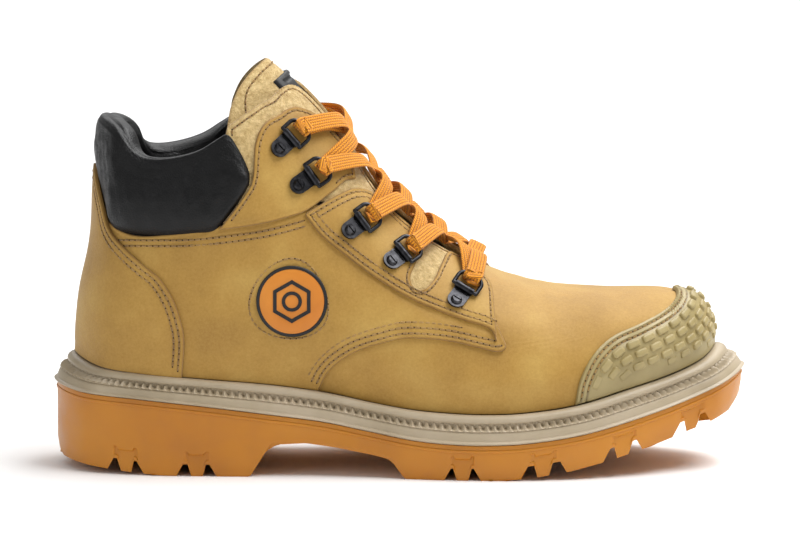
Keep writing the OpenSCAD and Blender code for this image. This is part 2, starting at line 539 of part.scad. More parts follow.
module d_ring(i, side) {
    leg = ring_reach - ring_corner_r;
    front = ring_w - 2 * ring_corner_r;
    color([0.3, 0.3, 0.32]) in_frame(clip_frame(i, side)) rotate([ring_lift, 0, 0]) {
        wire_bar(ring_w);
        translate([0, ring_reach, 0]) wire_bar(front);
        for (x = [-1, 1]) {
            translate([x * ring_w / 2, 0, 0]) sphere(r = wire_r, $fn = 32);
            translate([x * ring_w / 2, 0, 0]) rotate([-90, 0, 0]) cylinder(r = wire_r, h = leg, $fn = 32);
            translate([x * front / 2, leg, 0]) rotate([0, 0, x > 0 ? 0 : 90])
                rotate_extrude(angle = 90, $fn = 64)
                    translate([ring_corner_r, 0]) circle(r = wire_r, $fn = 32);
        }
    }
}
module lace_clips(side) {
    color([0.3, 0.3, 0.32]) for (i = [0:4]) in_frame(clip_frame(i, side)) clip();
}
module clip_rivets(side) {
    color([0.35, 0.35, 0.37]) for (i = [0:4]) in_frame(clip_frame(i, side)) rivet();
}

// The lace: each end starts at a top ring, wraps its front wire from below, and crosses to the
// other side's next ring down, until a straight bar joins the two halves at the bottom rings.
// A station is a centre and the way that the lace's face points.
wrap = wire_r + 0.45 + lace_t / 2;
ride_off = 2.6;
cross_off = 0.9;
// How far the lace bows out half way to the ridge, from the top crossing down
bulge = [7.5, 7, 7, 6, 5];
wrap_angles = [-112, -146, -180, -225, -270, -302];
top_exit = len(wrap_angles) - 1;
// Columns of the form where the lace crosses the ridge, from the top crossing down
cross_cols = [7.35, 8, 8.6, 9.25, 9.8];
// The tucked end, as column, row and height over the form
tail_path = [[7.05, 3.64, 3.4], [6.85, 3.52, 4.2], [6.5, 3.37, 4.5], [6.12, 3.26, 4.5]];
function flip_dir(d) = [d[0], -d[1], d[2]];
function around(i, side, sign) = let (f = clip_frame(i, side),
    r = f[2] * cos(ring_lift) + f[3] * sin(ring_lift), n = f[3] * cos(ring_lift) - f[2] * sin(ring_lift),
    wire = f[0] + ring_reach * r) [for (t = wrap_angles)
    let (way = cos(t) * r + sin(t) * n) [wire + wrap * way, sign * way]];
function between(p, q, t, up) = p + t * (q - p) + up;
function crossing(i, j, side, lift, sign) = let (p = around(i, side, 1)[top_exit][0],
    q = around(j, -side, 1)[i == j ? top_exit : 0][0],
    mid = form(cross_cols[i], last_row, ride_off + lift), raw = half_normal(cross_cols[i], last_row),
    up = bulge[i] * raw, n = sign * [raw[0], 0, raw[2]])
    [[between(p, mid, 0.5, up), n], [mid, n], [between(mid, q, 0.5, up), n]];
function tail(side, sign) = [for (p = tail_path) let (n = half_normal(p[0], p[1]))
    [form(side * p[0], p[1], p[2]), -sign * (side > 0 ? n : flip_dir(n))]];
function half_lace(first_side) = concat(tail(first_side, 1), [for (i = [0:4])
    let (side = first_side * (i % 2 == 0 ? 1 : -1), sign = i % 2 == 0 ? 1 : -1)
    each concat(around(i, side, sign),
        i < 4 ? crossing(i, i + 1, side, side > 0 ? -cross_off : cross_off, sign) : [])]);
function backwards(line) = [for (i = [len(line) - 1:-1:0]) line[i]];
stations = concat(half_lace(1), crossing(4, 4, 1, 0, 1), backwards(half_lace(-1)));
lace_section = [[-1, 0.3], [-0.93, 1], [0.93, 1], [1, 0.3], [1, -0.3], [0.93, -1], [-0.93, -1],
    [-1, -0.3]];
module lace() {
    count = len(stations);
    sides = len(lace_section);
    function ring(k) = let (c = stations[k][0],
        way = stations[min(k + 1, count - 1)][0] - stations[max(k - 1, 0)][0],
        side = cross(way, stations[k][1]), w = side / norm(side), t = way / norm(way), up = cross(w, t))
        [for (s = lace_section) c + s[0] * lace_w / 2 * w + s[1] * lace_t / 2 * up];
    function id(k, j) = k * sides + j % sides;
    tube = [for (k = [0:count - 2], j = [0:sides - 1]) each [
        [id(k, j), id(k + 1, j + 1), id(k, j + 1)], [id(k, j), id(k + 1, j), id(k + 1, j + 1)]]];
    caps = [[for (j = [0:sides - 1]) j], [for (j = [sides - 1:-1:0]) id(count - 1, j)]];
    color([0.86, 0.42, 0.06]) polyhedron(points = [for (k = [0:count - 1]) each ring(k)],
        faces = concat(tube, caps), convexity = 20);
}

outsole();
midsole();
welt();
shank();
puncture_plate();
insole_board();
footbed();
steel_toe_cap();
toe_cap_edge_strip();
toe_guard();
vamp();
vamp_lining();
quarter(1);  // quarter_outer
quarter(-1);  // quarter_inner
backstay();
heel_stiffener();
collar_cover();
collar_foam();
quarter_lining();
facing(1);  // facing_outer
facing(-1);  // facing_inner
eyestay_top(1);  // eyestay_top_outer
eyestay_top(-1);  // eyestay_top_inner
eyestay_low(1);  // eyestay_low_outer
eyestay_low(-1);  // eyestay_low_inner
tongue_shell();
tongue_foam();
tongue_lining();
tongue_label();
badge();
lace_clips(1);  // lace_clips_outer
lace_clips(-1);  // lace_clips_inner
clip_rivets(1);  // clip_rivets_outer
clip_rivets(-1);  // clip_rivets_inner
d_ring(0, 1);  // d_ring_outer_1
d_ring(1, 1);  // d_ring_outer_2
d_ring(2, 1);  // d_ring_outer_3
d_ring(3, 1);  // d_ring_outer_4
d_ring(4, 1);  // d_ring_outer_5
d_ring(0, -1);  // d_ring_inner_1
d_ring(1, -1);  // d_ring_inner_2
d_ring(2, -1);  // d_ring_inner_3
d_ring(3, -1);  // d_ring_inner_4
d_ring(4, -1);  // d_ring_inner_5
lace();
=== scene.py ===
import math

import bpy
import numpy as np
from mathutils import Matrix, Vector
from mathutils.geometry import delaunay_2d_cdt
from mathutils.kdtree import KDTree


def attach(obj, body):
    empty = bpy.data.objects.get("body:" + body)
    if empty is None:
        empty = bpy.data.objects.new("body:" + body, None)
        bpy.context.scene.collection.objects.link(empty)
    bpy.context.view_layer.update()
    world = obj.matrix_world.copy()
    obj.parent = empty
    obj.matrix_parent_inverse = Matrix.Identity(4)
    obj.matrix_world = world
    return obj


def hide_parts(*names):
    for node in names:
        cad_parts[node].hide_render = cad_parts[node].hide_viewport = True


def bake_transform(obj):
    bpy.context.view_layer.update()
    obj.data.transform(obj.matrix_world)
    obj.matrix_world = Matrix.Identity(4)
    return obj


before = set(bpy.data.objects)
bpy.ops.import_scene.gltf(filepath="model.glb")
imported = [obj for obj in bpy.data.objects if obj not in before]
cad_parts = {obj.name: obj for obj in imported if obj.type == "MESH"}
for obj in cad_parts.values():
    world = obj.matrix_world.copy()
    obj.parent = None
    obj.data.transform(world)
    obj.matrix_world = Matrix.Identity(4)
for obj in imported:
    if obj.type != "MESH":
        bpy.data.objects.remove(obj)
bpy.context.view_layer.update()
MM = 0.001

# ---------------------------------------------------------------- the boot's form, in millimetres
# Five rails on the outer side, each from the heel's centre line to the toe's, as in the CAD part.
FEATHER = [[-140, 0, 49.5], [-129, -23.5, 46], [-110, -31.5, 44], [-84, -34, 42], [-58, -35, 40],
           [-34, -36, 37], [-14, -38.5, 33], [4, -41.5, 30], [20, -44, 28.7], [36, -46, 28.3],
           [54, -46.3, 29], [76, -43.8, 32], [98, -37.3, 38], [117, -27, 43], [131, -14.5, 48],
           [137, 3, 52.5]]
FLANK = [[-138.5, 0, 73], [-128, -25, 70], [-109, -34.5, 68], [-84, -38, 66], [-59.5, -39.5, 65],
         [-37, -41, 62], [-18, -43, 57], [0, -45, 52], [17, -47, 48], [34, -48.5, 46],
         [53, -48, 46], [75, -45, 48], [97, -39, 52], [116, -29, 56], [130, -16, 58],
         [136, 3, 62]]
WAIST = [[-133.2, 0, 100], [-124.5, -23, 100], [-106.5, -32, 100], [-84.5, -36.5, 100],
         [-62, -38, 99], [-42.5, -38, 96], [-26, -38, 90], [-8, -38.5, 83], [10, -39, 76],
         [29, -39.5, 70], [50, -38.5, 67], [72, -36, 65], [94, -31.5, 67], [112.5, -23.5, 68],
         [125.5, -13, 69.5], [131.5, 3, 71]]
CUFF = [[-131.2, 0, 133], [-122.5, -21.5, 133], [-105.5, -30, 134], [-85, -34, 136],
        [-66, -33.5, 138], [-51, -29.5, 138], [-35, -24, 136.5], [-19, -21, 123], [-1, -20, 105],
        [20, -20, 92], [43, -19.5, 82], [66, -18, 76.5], [88, -16, 75.5], [106, -11, 75.5],
        [118.5, -6, 75.5], [125, 3, 75]]
RIDGE = [[-129.5, 0, 166], [-121, -20, 167], [-106, -28, 170], [-88, -30, 174], [-74, -27, 178],
         [-64, -18, 182], [-57, 0, 184], [-32, 0, 156], [-13, 0, 126], [10, 0, 102],
         [36, 0.5, 87], [60, 1, 79.5], [82, 1.6, 77], [100, 2.2, 77.4], [111, 2.6, 77.2],
         [118, 2.9, 75.8]]
SOLE_EDGE = [[-151.5, 0, 37], [-139.5, -28.5, 35.3], [-113, -39.5, 33.5], [-85, -42.5, 30.8],
             [-58, -43.5, 27.6], [-34, -44, 24.5], [-13, -46.5, 20.5], [5, -50, 17.3],
             [21, -53, 15.9], [37, -54.5, 15.6], [56, -54.7, 16.6], [80, -51.5, 20],
             [104, -44, 26], [125, -32, 32], [142, -21, 38.5], [151, 3, 42.8]]
LAST_COL, LAST_ROW, FIRST_RIDGE = 15, 4, 6
SWING, SWING_START, SWING_LEN = 3, -20, 140


def centre_y(x):
    return SWING * np.clip((np.asarray(x, float) - SWING_START) / SWING_LEN, 0, 1) ** 2


def flip(p):
    p = np.array(p, float)
    p[..., 1] = 2 * centre_y(p[..., 0]) - p[..., 1]
    return p


def mirror_about(p, c):
    return [p[0], 2 * c - p[1], p[2]]


def spline(a, b, c, d, t):
    return (b + t * (c - a) / 2 + t * t * (2 * a - 5 * b + 4 * c - d) / 2
            + t ** 3 * (3 * b - a - 3 * c + d) / 2)


def with_ends(row):
    return np.array([mirror_about(row[1], row[0][1])] + row
                    + [mirror_about(row[-2], row[-1][1])], float)


rails = [with_ends(r) for r in (FEATHER, FLANK, WAIST, CUFF, RIDGE)]
below = 2 * rails[0] - rails[1]
above = 2 * rails[4] - rails[3]
for i in range(FIRST_RIDGE + 1, LAST_COL + 3):
    above[i] = mirror_about(rails[3][i], rails[4][i][1])
net = [below] + rails + [above]
sole_net = with_ends(SOLE_EDGE)


def on_rail(row, a):
    x = np.clip(np.asarray(a, float), 0, LAST_COL)
    i = np.minimum(np.floor(x), LAST_COL - 1).astype(int)
    t = (x - i)[..., None]
    return spline(row[i], row[i + 1], row[i + 2], row[i + 3], t)


def half_form(a, b):
    y = np.clip(b, 0, LAST_ROW)
    j = np.minimum(np.floor(y), LAST_ROW - 1).astype(int)
    r = np.stack([on_rail(row, a) for row in net])
    k = np.arange(len(y))
    return spline(r[j, k], r[j + 1, k], r[j + 2, k], r[j + 3, k], (y - j)[:, None])


STEP = 0.03


def unit(v):
    return v / np.linalg.norm(v)


def cross_unit(u, v):
    n = np.cross(u, v)
    return n / np.maximum(np.linalg.norm(n, axis=-1, keepdims=True), 1e-9)


def half_normal(a, b):
    return cross_unit(half_form(a + STEP, b) - half_form(a - STEP, b),
                      half_form(a, b + STEP) - half_form(a, b - STEP))


def form(a, b, off=0.0):
    """Points at columns a and rows b, off outside the form; the inner side is a < 0 or b > 4."""
    a, b, off = np.broadcast_arrays(np.atleast_1d(np.asarray(a, float)), b, off)
    over = b > LAST_ROW
    row = np.where(over, 2 * LAST_ROW - b, b)
    col = np.where(a < 0, -a, np.where(a > LAST_COL, 2 * LAST_COL - a, a))
    p = half_form(col, row) + off[:, None] * half_normal(col, row)
    mid = centre_y(p[:, 0])
    p[:, 1] = np.minimum(p[:, 1], mid)
    end = (col == 0) | (col == LAST_COL)
    p[end, 1] = mid[end]
    inner = over ^ (a < 0) ^ (a > LAST_COL)
    p[inner] = flip(p[inner])
    return p


def on_form(ab, off=0.0):
    return form(ab[:, 0], ab[:, 1], off)


NEAR = 0.02


def spans(ab):
    """The form's two chords across each point, along its columns and along its rows."""
    a, b = ab[:, 0], ab[:, 1]
    return form(a + NEAR, b) - form(a - NEAR, b), form(a, b + NEAR) - form(a, b - NEAR)


def normals(ab):
    return cross_unit(*spans(ab))


def jacobian(ab):
    fa, fb = spans(ab)
    return fa / (2 * NEAR), fb / (2 * NEAR)


def to_columns(ab, move):
    """The change in column and row that moves each point by a 3-D step."""
    fa, fb = jacobian(ab)
    aa, bb, cc = (fa * fa).sum(1), (fb * fb).sum(1), (fa * fb).sum(1)
    ra, rb = (fa * move).sum(1), (fb * move).sum(1)
    det = np.maximum(aa * bb - cc * cc, 1e-6)
    return np.stack([(ra * bb - rb * cc) / det, (rb * aa - ra * cc) / det], 1)


def smooth_step(lo, hi, x):
    t = np.clip((x - lo) / (hi - lo), 0, 1)
    return t * t * (3 - 2 * t)


FOAM_T = 8


def collar_room(a, b):
    return FOAM_T * smooth_step(1.9, 2.5, b) * (1 - smooth_step(3, 4, np.abs(a)))


def waves(p, size, seed):
    """Smooth, repeatable unevenness of about +-1 over points p."""
    rng = np.random.RandomState(seed)
    out = 0
    for _ in range(6):
        d = rng.normal(size=3)
        d *= 2 * math.pi / (size * rng.uniform(0.7, 1.6) * np.linalg.norm(d))
        out = out + np.sin(p @ d + rng.uniform(0, 6.28))
    return out / 3


# ---------------------------------------------------------------- lines on the form
def smooth_line(points, per=12):
    p = np.array(points, float)
    if len(p) < 3:
        return p[0] + np.linspace(0, 1, per * 2)[:, None] * (p[-1] - p[0])
    q = np.vstack([2 * p[0] - p[1], p, 2 * p[-1] - p[-2]])
    out = [spline(q[i], q[i + 1], q[i + 2], q[i + 3], t)
           for i in range(len(p) - 1) for t in np.linspace(0, 1, per, endpoint=False)]
    return np.array(out + [p[-1]])


def lengths(p):
    return np.concatenate([[0], np.cumsum(np.linalg.norm(np.diff(p, axis=0), axis=1))])


def along_path(at, s, rows):
    """The rows of a path at new lengths, each column on its own."""
    return np.stack([np.interp(at, s, column) for column in rows.T], 1)


def resample(ab, spacing, count=None):
    s = lengths(on_form(ab))
    n = count or max(2, int(round(s[-1] / spacing)) + 1)
    return along_path(np.linspace(0, s[-1], n), s, ab)


def closed_outline(segments, spacing):
    loop = np.vstack([resample(smooth_line(s), spacing)[:-1] for s in segments])
    x, y = loop[:, 0], loop[:, 1]
    if (x * np.roll(y, -1) - np.roll(x, -1) * y).sum() < 0:
        loop = loop[::-1]
    return loop


def inward(ab, closed=True):
    """The unit 3-D step to the left of a line on the form, in its surface."""
    p = on_form(ab)
    t = np.roll(p, -1, 0) - np.roll(p, 1, 0) if closed else np.gradient(p, axis=0)
    return cross_unit(normals(ab), t)


def inset_line(ab, d, closed=True):
    return ab + to_columns(ab, inward(ab, closed) * d)


def tree_of(points):
    kd = KDTree(len(points))
    for i, p in enumerate(points):
        kd.insert(p, i)
    kd.balance()
    return kd


def distances(kd, points):
    return np.array([kd.find(p)[2] for p in points])


def inside_loop(loop, q):
    x, y = loop[:, 0], loop[:, 1]
    x2, y2 = np.roll(x, -1), np.roll(y, -1)
    hit = np.zeros(len(q), bool)
    for k in range(len(loop)):
        if y[k] != y2[k]:
            c = (y[k] > q[:, 1]) != (y2[k] > q[:, 1])
            hit ^= c & (q[:, 0] < (x2[k] - x[k]) * (q[:, 1] - y[k]) / (y2[k] - y[k]) + x[k])
    return hit


def fine(p):
    return np.vstack([p + (np.roll(p, -1, 0) - p) * t for t in (0, 0.25, 0.5, 0.75)])


def triangulate(loop, extra, scale):
    pts = np.vstack([loop, extra]) if len(extra) else loop
    n = len(loop)
    verts, _, faces, _, _, _ = delaunay_2d_cdt(
        [Vector((p[0] * scale[0], p[1] * scale[1])) for p in pts],
        [(i, (i + 1) % n) for i in range(n)], [], 1, 1e-5)
    return np.array([[v.x / scale[0], v.y / scale[1]] for v in verts]), [tuple(f) for f in faces]


# ---------------------------------------------------------------- meshes
def volume(v, faces):
    total = 0.0
    for f in faces:
        for k in range(1, len(f) - 1):
            total += np.dot(v[f[0]], np.cross(v[f[k]], v[f[k + 1]]))
    return total


def add(name, verts, faces, mats, body="boot", nodes=(), slot=None, sharp=38, attrs=None,
        face_mats=None):
    """A closed mesh from points in millimetres, riding on a body."""
    v = np.asarray(verts, float)
    if volume(v, faces) < 0:
        faces = [tuple(reversed(f)) for f in faces]
    me = bpy.data.meshes.new(name)
    me.from_pydata((v * MM).tolist(), [], faces)
    me.polygons.foreach_set("use_smooth", [True] * len(me.polygons))
    me.set_sharp_from_angle(angle=math.radians(sharp))
    for key, values in (attrs or {}).items():
        me.attributes.new(key, "FLOAT", "POINT").data.foreach_set(
            "value", np.asarray(values, np.float32))
    for m in (mats if isinstance(mats, (list, tuple)) else [mats]):
        me.materials.append(m)
    if face_mats is not None:
        me.polygons.foreach_set("material_index", face_mats)
    me.update()
    obj = bpy.data.objects.new(name, me)
    bpy.context.scene.collection.objects.link(obj)
    if body:
        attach(obj, body)
    if nodes:
        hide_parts(*nodes)
    return obj


def border(faces):
    """The directed edges that only one face has."""
    seen = {edge: True for f in faces for edge in zip(f, f[1:] + f[:1])}
    return [(i, j) for i, j in seen if (j, i) not in seen]


def closed_sheet(top, low, faces):
    """A solid from a triangulated top sheet and a low sheet of the same layout."""
    n = len(top)
    out = list(faces) + [tuple(i + n for i in reversed(f)) for f in faces]
    out += [(j, i, i + n, j + n) for i, j in border(faces)]
    return np.vstack([top, low]), out


def grid_faces(rows, cols, wrap_rows=False, wrap_cols=False):
    out = []
    for i in range(rows if wrap_rows else rows - 1):
        for j in range(cols if wrap_cols else cols - 1):
            i2, j2 = (i + 1) % rows, (j + 1) % cols
            out.append((i * cols + j, i2 * cols + j, i2 * cols + j2, i * cols + j2))
    return out


def merge_close(verts, faces, tol=1e-3):
    key, where, keep = {}, [], []
    for v in np.round(np.asarray(verts) / tol).astype(int).tolist():
        k = tuple(v)
        if k not in key:
            key[k] = len(keep)
            keep.append(len(where))
        where.append(key[k])
    out = []
    for f in faces:
        g = [where[i] for i in f]
        g = [x for k, x in enumerate(g) if x != g[k - 1]]
        if len(g) >= 3 and len(set(g)) == len(g):
            out.append(tuple(g))
    return np.asarray(verts)[keep], out


# ---------------------------------------------------------------- materials
def srgb(r, g, b):
    return [((c + 0.055) / 1.055) ** 2.4 if c > 0.04045 else c / 12.92
            for c in (r, g, b)] + [1.0]


class Nodes:
    """Small helper that wires a procedural material."""

    def __init__(self, name):
        self.mat = bpy.data.materials.new(name)
        self.mat.use_nodes = True
        self.tree = self.mat.node_tree
        self.bsdf = self.tree.nodes["Principled BSDF"]
        self.coord = self.tree.nodes.new("ShaderNodeTexCoord").outputs["Object"]

    def link(self, a, b):
        self.tree.links.new(a, b)

    def new(self, kind, **values):
        n = self.tree.nodes.new(kind)
        for k, v in values.items():
            if k in n.inputs:
                if isinstance(v, bpy.types.NodeSocket):
                    self.link(v, n.inputs[k])
                else:
                    n.inputs[k].default_value = v
            else:
                setattr(n, k, v)
        return n

    def noise(self, scale, detail=3.0, rough=0.5):
        n = self.new("ShaderNodeTexNoise", Scale=scale, Detail=detail, Roughness=rough,
                     Vector=self.coord)
        return n.outputs["Fac"]

    def cells(self, scale, feature="F1"):
        n = self.new("ShaderNodeTexVoronoi", Scale=scale, Vector=self.coord)
        n.feature = feature
        return n.outputs["Distance"]

    def attr(self, name):
        n = self.tree.nodes.new("ShaderNodeAttribute")
        n.attribute_name = name
        return n.outputs["Fac"]

    def ramp(self, fac, stops):
        n = self.tree.nodes.new("ShaderNodeValToRGB")
        el = n.color_ramp.elements
        while len(el) < len(stops):
            el.new(0.5)
        for e, (pos, col) in zip(el, stops):
            e.position, e.color = pos, col if len(col) == 4 else list(col) + [1]
        self.link(fac, n.inputs["Fac"])
        return n.outputs["Color"]

    def math(self, op, a, b=0.0, clamp=False):
        n = self.tree.nodes.new("ShaderNodeMath")
        n.operation, n.use_clamp = op, clamp
        for k, v in enumerate((a, b)):
            if isinstance(v, bpy.types.NodeSocket):
                self.link(v, n.inputs[k])
            else:
                n.inputs[k].default_value = v
        return n.outputs["Value"]

    def mix(self, fac, a, b):
        n = self.tree.nodes.new("ShaderNodeMix")
        n.data_type, n.blend_type = "RGBA", "MIX"
        for k, v in (("Factor", fac), ("A", a), ("B", b)):
            sock = [s for s in n.inputs if s.name == k and (k == "Factor") == (s.type == "VALUE")
                    and s.enabled][0]
            if isinstance(v, bpy.types.NodeSocket):
                self.link(v, sock)
            else:
                sock.default_value = v
        return [s for s in n.outputs if s.type == "RGBA" and s.enabled][0]

    def bump(self, height, strength, dist):
        n = self.new("ShaderNodeBump", Strength=strength, Distance=dist, Height=height)
        return n.outputs["Normal"]

    def done(self, colour, rough, normal=None, **values):
        b = self.bsdf
        for sock, v in (("Base Color", colour), ("Roughness", rough), ("Normal", normal)):
            if isinstance(v, bpy.types.NodeSocket):
                self.link(v, b.inputs[sock])
            elif v is not None:
                b.inputs[sock].default_value = v
        for k, v in values.items():
            b.inputs[k.replace("_", " ")].default_value = v
        return self.mat


def hide(name, dark, base, light, rough, mottle, grain, depth, edge, sheen=0.0, soft=0.0):
    """Leather: mottled colour, fine grain, and a darker cut edge, which is partly the edge's own
    tone and partly painted shade along the outline.
    """
    n = Nodes(name)
    big = n.noise(mottle, 4, 0.55)
    colour = n.ramp(big, [(0.28, dark), (0.5, base), (0.72, light)])
    nap = n.noise(grain * 0.35, 6, 0.7)
    colour = n.mix(0.35 + soft, colour, n.ramp(nap, [(0.3, dark), (0.7, light)]))
    # near the outline the colour turns toward the edge colour: partly the cut edge's own tone,
    # partly painted shade
    edge_tone_and_shade = n.math("SUBTRACT", 1.0, n.math("DIVIDE", n.attr("edge"), 0.9), clamp=True)
    colour = n.mix(n.math("MULTIPLY", edge_tone_and_shade, 0.55), colour, edge)
    h = n.math("ADD", n.noise(grain, 8, 0.7), n.math("MULTIPLY", n.noise(grain * 0.2, 3, 0.5), 0.8))
    return n.done(colour, rough, n.bump(h, 0.55 + soft, depth), Sheen_Weight=sheen,
                  Sheen_Roughness=0.45, Specular_IOR_Level=0.4)


# the last colour is the cut edge's: its own darker tone, which also paints the shade along the
# outlines
NUBUCK = hide("nubuck", srgb(0.585, 0.43, 0.165), srgb(0.675, 0.515, 0.22), srgb(0.755, 0.61, 0.31),
              0.6, 30, 2600, 0.00022, srgb(0.42, 0.28, 0.13), sheen=0.15)
SUEDE = hide("suede", srgb(0.64, 0.49, 0.25), srgb(0.84, 0.71, 0.45), srgb(0.97, 0.87, 0.64),
             0.95, 90, 1300, 0.0011, srgb(0.62, 0.47, 0.27), sheen=0.35, soft=0.4)


def black_leather(name):
    n = Nodes(name)
    cell = n.cells(900, "DISTANCE_TO_EDGE")
    h = n.math("ADD", n.math("MINIMUM", cell, 0.25), n.math("MULTIPLY", n.noise(240, 5, 0.65), 0.9))
    h = n.math("ADD", h, n.math("MULTIPLY", n.noise(70, 3, 0.5), 1.6))
    colour = n.ramp(n.noise(40, 4), [(0.3, srgb(0.012, 0.012, 0.012)),
                                     (0.75, srgb(0.03, 0.03, 0.035))])
    rough = n.ramp(n.noise(300, 3), [(0.3, (0.32,) * 3), (0.8, (0.46,) * 3)])
    return n.done(colour, rough, n.bump(h, 0.5, 0.0006), Specular_IOR_Level=0.28)


RUBBER_MOTTLE, RUBBER_GRAIN, RUBBER_DEPTH = 120, 3200, 0.00012


def rubber(name, dark, base, light, rough, glow=0.0, painted_shade_at=()):
    """Moulded rubber; at each given value of the 'edge' attribute a dark brown is mixed in as
    painted shade, for the toe guard's stitch channels and the welt's serration valleys.
    """
    n = Nodes(name)
    colour = n.ramp(n.noise(RUBBER_MOTTLE * 0.25, 4), [(0.3, dark), (0.5, base), (0.75, light)])
    for d in painted_shade_at:
        off = n.math("ABSOLUTE", n.math("SUBTRACT", n.attr("edge"), d))
        shade = n.math("SUBTRACT", 1.0, n.math("DIVIDE", off, 0.75), clamp=True)
        # painted shade: a dark brown mixed in where the 'edge' attribute is near the given value
        colour = n.mix(n.math("MULTIPLY", shade, 0.7), colour, srgb(0.33, 0.27, 0.16))
    r = n.ramp(n.noise(RUBBER_MOTTLE, 3), [(0.3, (rough - 0.06,) * 3), (0.8, (rough + 0.08,) * 3)])
    return n.done(colour, r, n.bump(n.noise(RUBBER_GRAIN, 5, 0.6), 0.35, RUBBER_DEPTH),
                  Subsurface_Weight=glow, Subsurface_Scale=0.004)


def metal(name, dark, light, rough):
    n = Nodes(name)
    colour = n.ramp(n.noise(500, 4), [(0.3, dark), (0.75, light)])
    r = n.ramp(n.noise(900, 3), [(0.3, (rough,) * 3), (0.8, (rough + 0.12,) * 3)])
    return n.done(colour, r, n.bump(n.noise(2500, 3), 0.15, 0.00005), Metallic=1.0)


def cloth(name, dark, light, pitch, rough=0.9):
    n = Nodes(name)
    weave = n.cells(1000 / pitch)
    colour = n.mix(0.8, n.ramp(weave, [(0.1, light), (0.6, dark)]),
                   n.ramp(n.noise(60), [(0.3, dark), (0.7, light)]))
    return n.done(colour, rough, n.bump(weave, 0.8, 0.0004), Sheen_Weight=0.3)


def braid(name, dark, base, light):
    """The lace: lengthwise cords of small slanting stitches, from the place along and across it."""
    n = Nodes(name)
    u, v = n.attr("along"), n.attr("across")
    cord = n.math("ABSOLUTE", n.math("SINE", n.math("MULTIPLY", v, math.pi / CORD)))
    lean = n.math("PINGPONG", n.math("ADD", v, 40 * CORD), CORD)
    stitch = n.math("ADD", u, lean)
    stitch = n.math("ABSOLUTE", n.math("SINE", n.math("MULTIPLY", stitch, math.pi / CORD_PITCH)))
    mixed = n.math("MULTIPLY", n.math("POWER", cord, 0.6), n.math("POWER", stitch, 0.5))
    fac = n.math("ADD", n.math("MULTIPLY", mixed, 0.75), n.math("MULTIPLY", n.noise(900), 0.3))
    # painted shade and highlight: the colour follows the bump's relief, dark between cords and
    # stitches and light on their crests
    colour = n.ramp(fac, [(0.15, dark), (0.6, base), (1.0, light)])
    h = n.math("ADD", mixed, n.math("MULTIPLY", n.noise(5000, 4), 0.3))
    return n.done(colour, 0.8, n.bump(h, 0.7, 0.0005), Sheen_Weight=0.15)


CORD, CORD_PITCH = 1.3, 1.25
COLLAR = black_leather("collar_leather")
AMBER = rubber("outsole_rubber", srgb(0.69, 0.425, 0.05), srgb(0.735, 0.465, 0.045),
               srgb(0.77, 0.5, 0.08),
               0.42, glow=0.06)
# the welt's rubber, with painted shade in its serration valleys
TAUPE = rubber("welt_rubber", srgb(0.6, 0.54, 0.44), srgb(0.67, 0.61, 0.51), srgb(0.72, 0.66, 0.57),
               0.42, painted_shade_at=(3.0,))
# the toe guard's rubber, with painted shade in its two stitch channels
OLIVE = rubber("guard_rubber", srgb(0.54, 0.475, 0.3), srgb(0.62, 0.555, 0.37),
               srgb(0.68, 0.61, 0.43),
               0.42, painted_shade_at=(2.0, 4.4))
BLACK = rubber("black_rubber", srgb(0.03, 0.03, 0.03), srgb(0.06, 0.06, 0.06), srgb(0.1, 0.1, 0.1),
               0.5)
ORANGE = rubber("badge_rubber", srgb(0.76, 0.44, 0.1), srgb(0.81, 0.49, 0.13),
                srgb(0.85, 0.54, 0.17), 0.5)
MIDSOLE = rubber("midsole_foam", srgb(0.6, 0.55, 0.45), srgb(0.67, 0.62, 0.52),
                 srgb(0.73, 0.68, 0.58), 0.7)
GUNMETAL = metal("gunmetal", srgb(0.15, 0.15, 0.16), srgb(0.27, 0.27, 0.28), 0.28)
STEEL = metal("steel", srgb(0.55, 0.56, 0.58), srgb(0.72, 0.73, 0.75), 0.35)
LINING = cloth("lining_mesh", srgb(0.1, 0.1, 0.1), srgb(0.3, 0.29, 0.27), 1.1)
FOOTBED = cloth("footbed_cloth", srgb(0.12, 0.12, 0.13), srgb(0.3, 0.3, 0.32), 0.8)
BOARD = cloth("board", srgb(0.6, 0.5, 0.36), srgb(0.76, 0.66, 0.5), 0.5)
STIFFENER = rubber("stiffener", srgb(0.78, 0.75, 0.68), srgb(0.85, 0.82, 0.75),
                   srgb(0.9, 0.88, 0.82), 0.6)
THREAD = cloth("thread", srgb(0.52, 0.38, 0.16), srgb(0.74, 0.58, 0.3), 0.25, 0.7)
# painted shade: the brown of the needle holes' shadowed pits
HOLE_SHADE = rubber("needle_hole_shade", srgb(0.2, 0.12, 0.05), srgb(0.26, 0.16, 0.07), srgb(0.32, 0.2, 0.09),
              0.9)
# the lace's dark and light colours are painted shade in the braid's hollows and painted highlight
# on its crests
LACE = braid("lace_braid", srgb(0.52, 0.27, 0.01), srgb(0.85, 0.525, 0.02), srgb(0.95, 0.66, 0.1))

# ---------------------------------------------------------------- panels and stitching
SIDES = ((1, "outer"), (-1, "inner"))


def mirrored(segments, side):
    return [[(side * a, b) for a, b in s] for s in segments]


EDGE_SPACING, LATTICE, GROOVE_HALF = 1.7, 2.6, 0.7


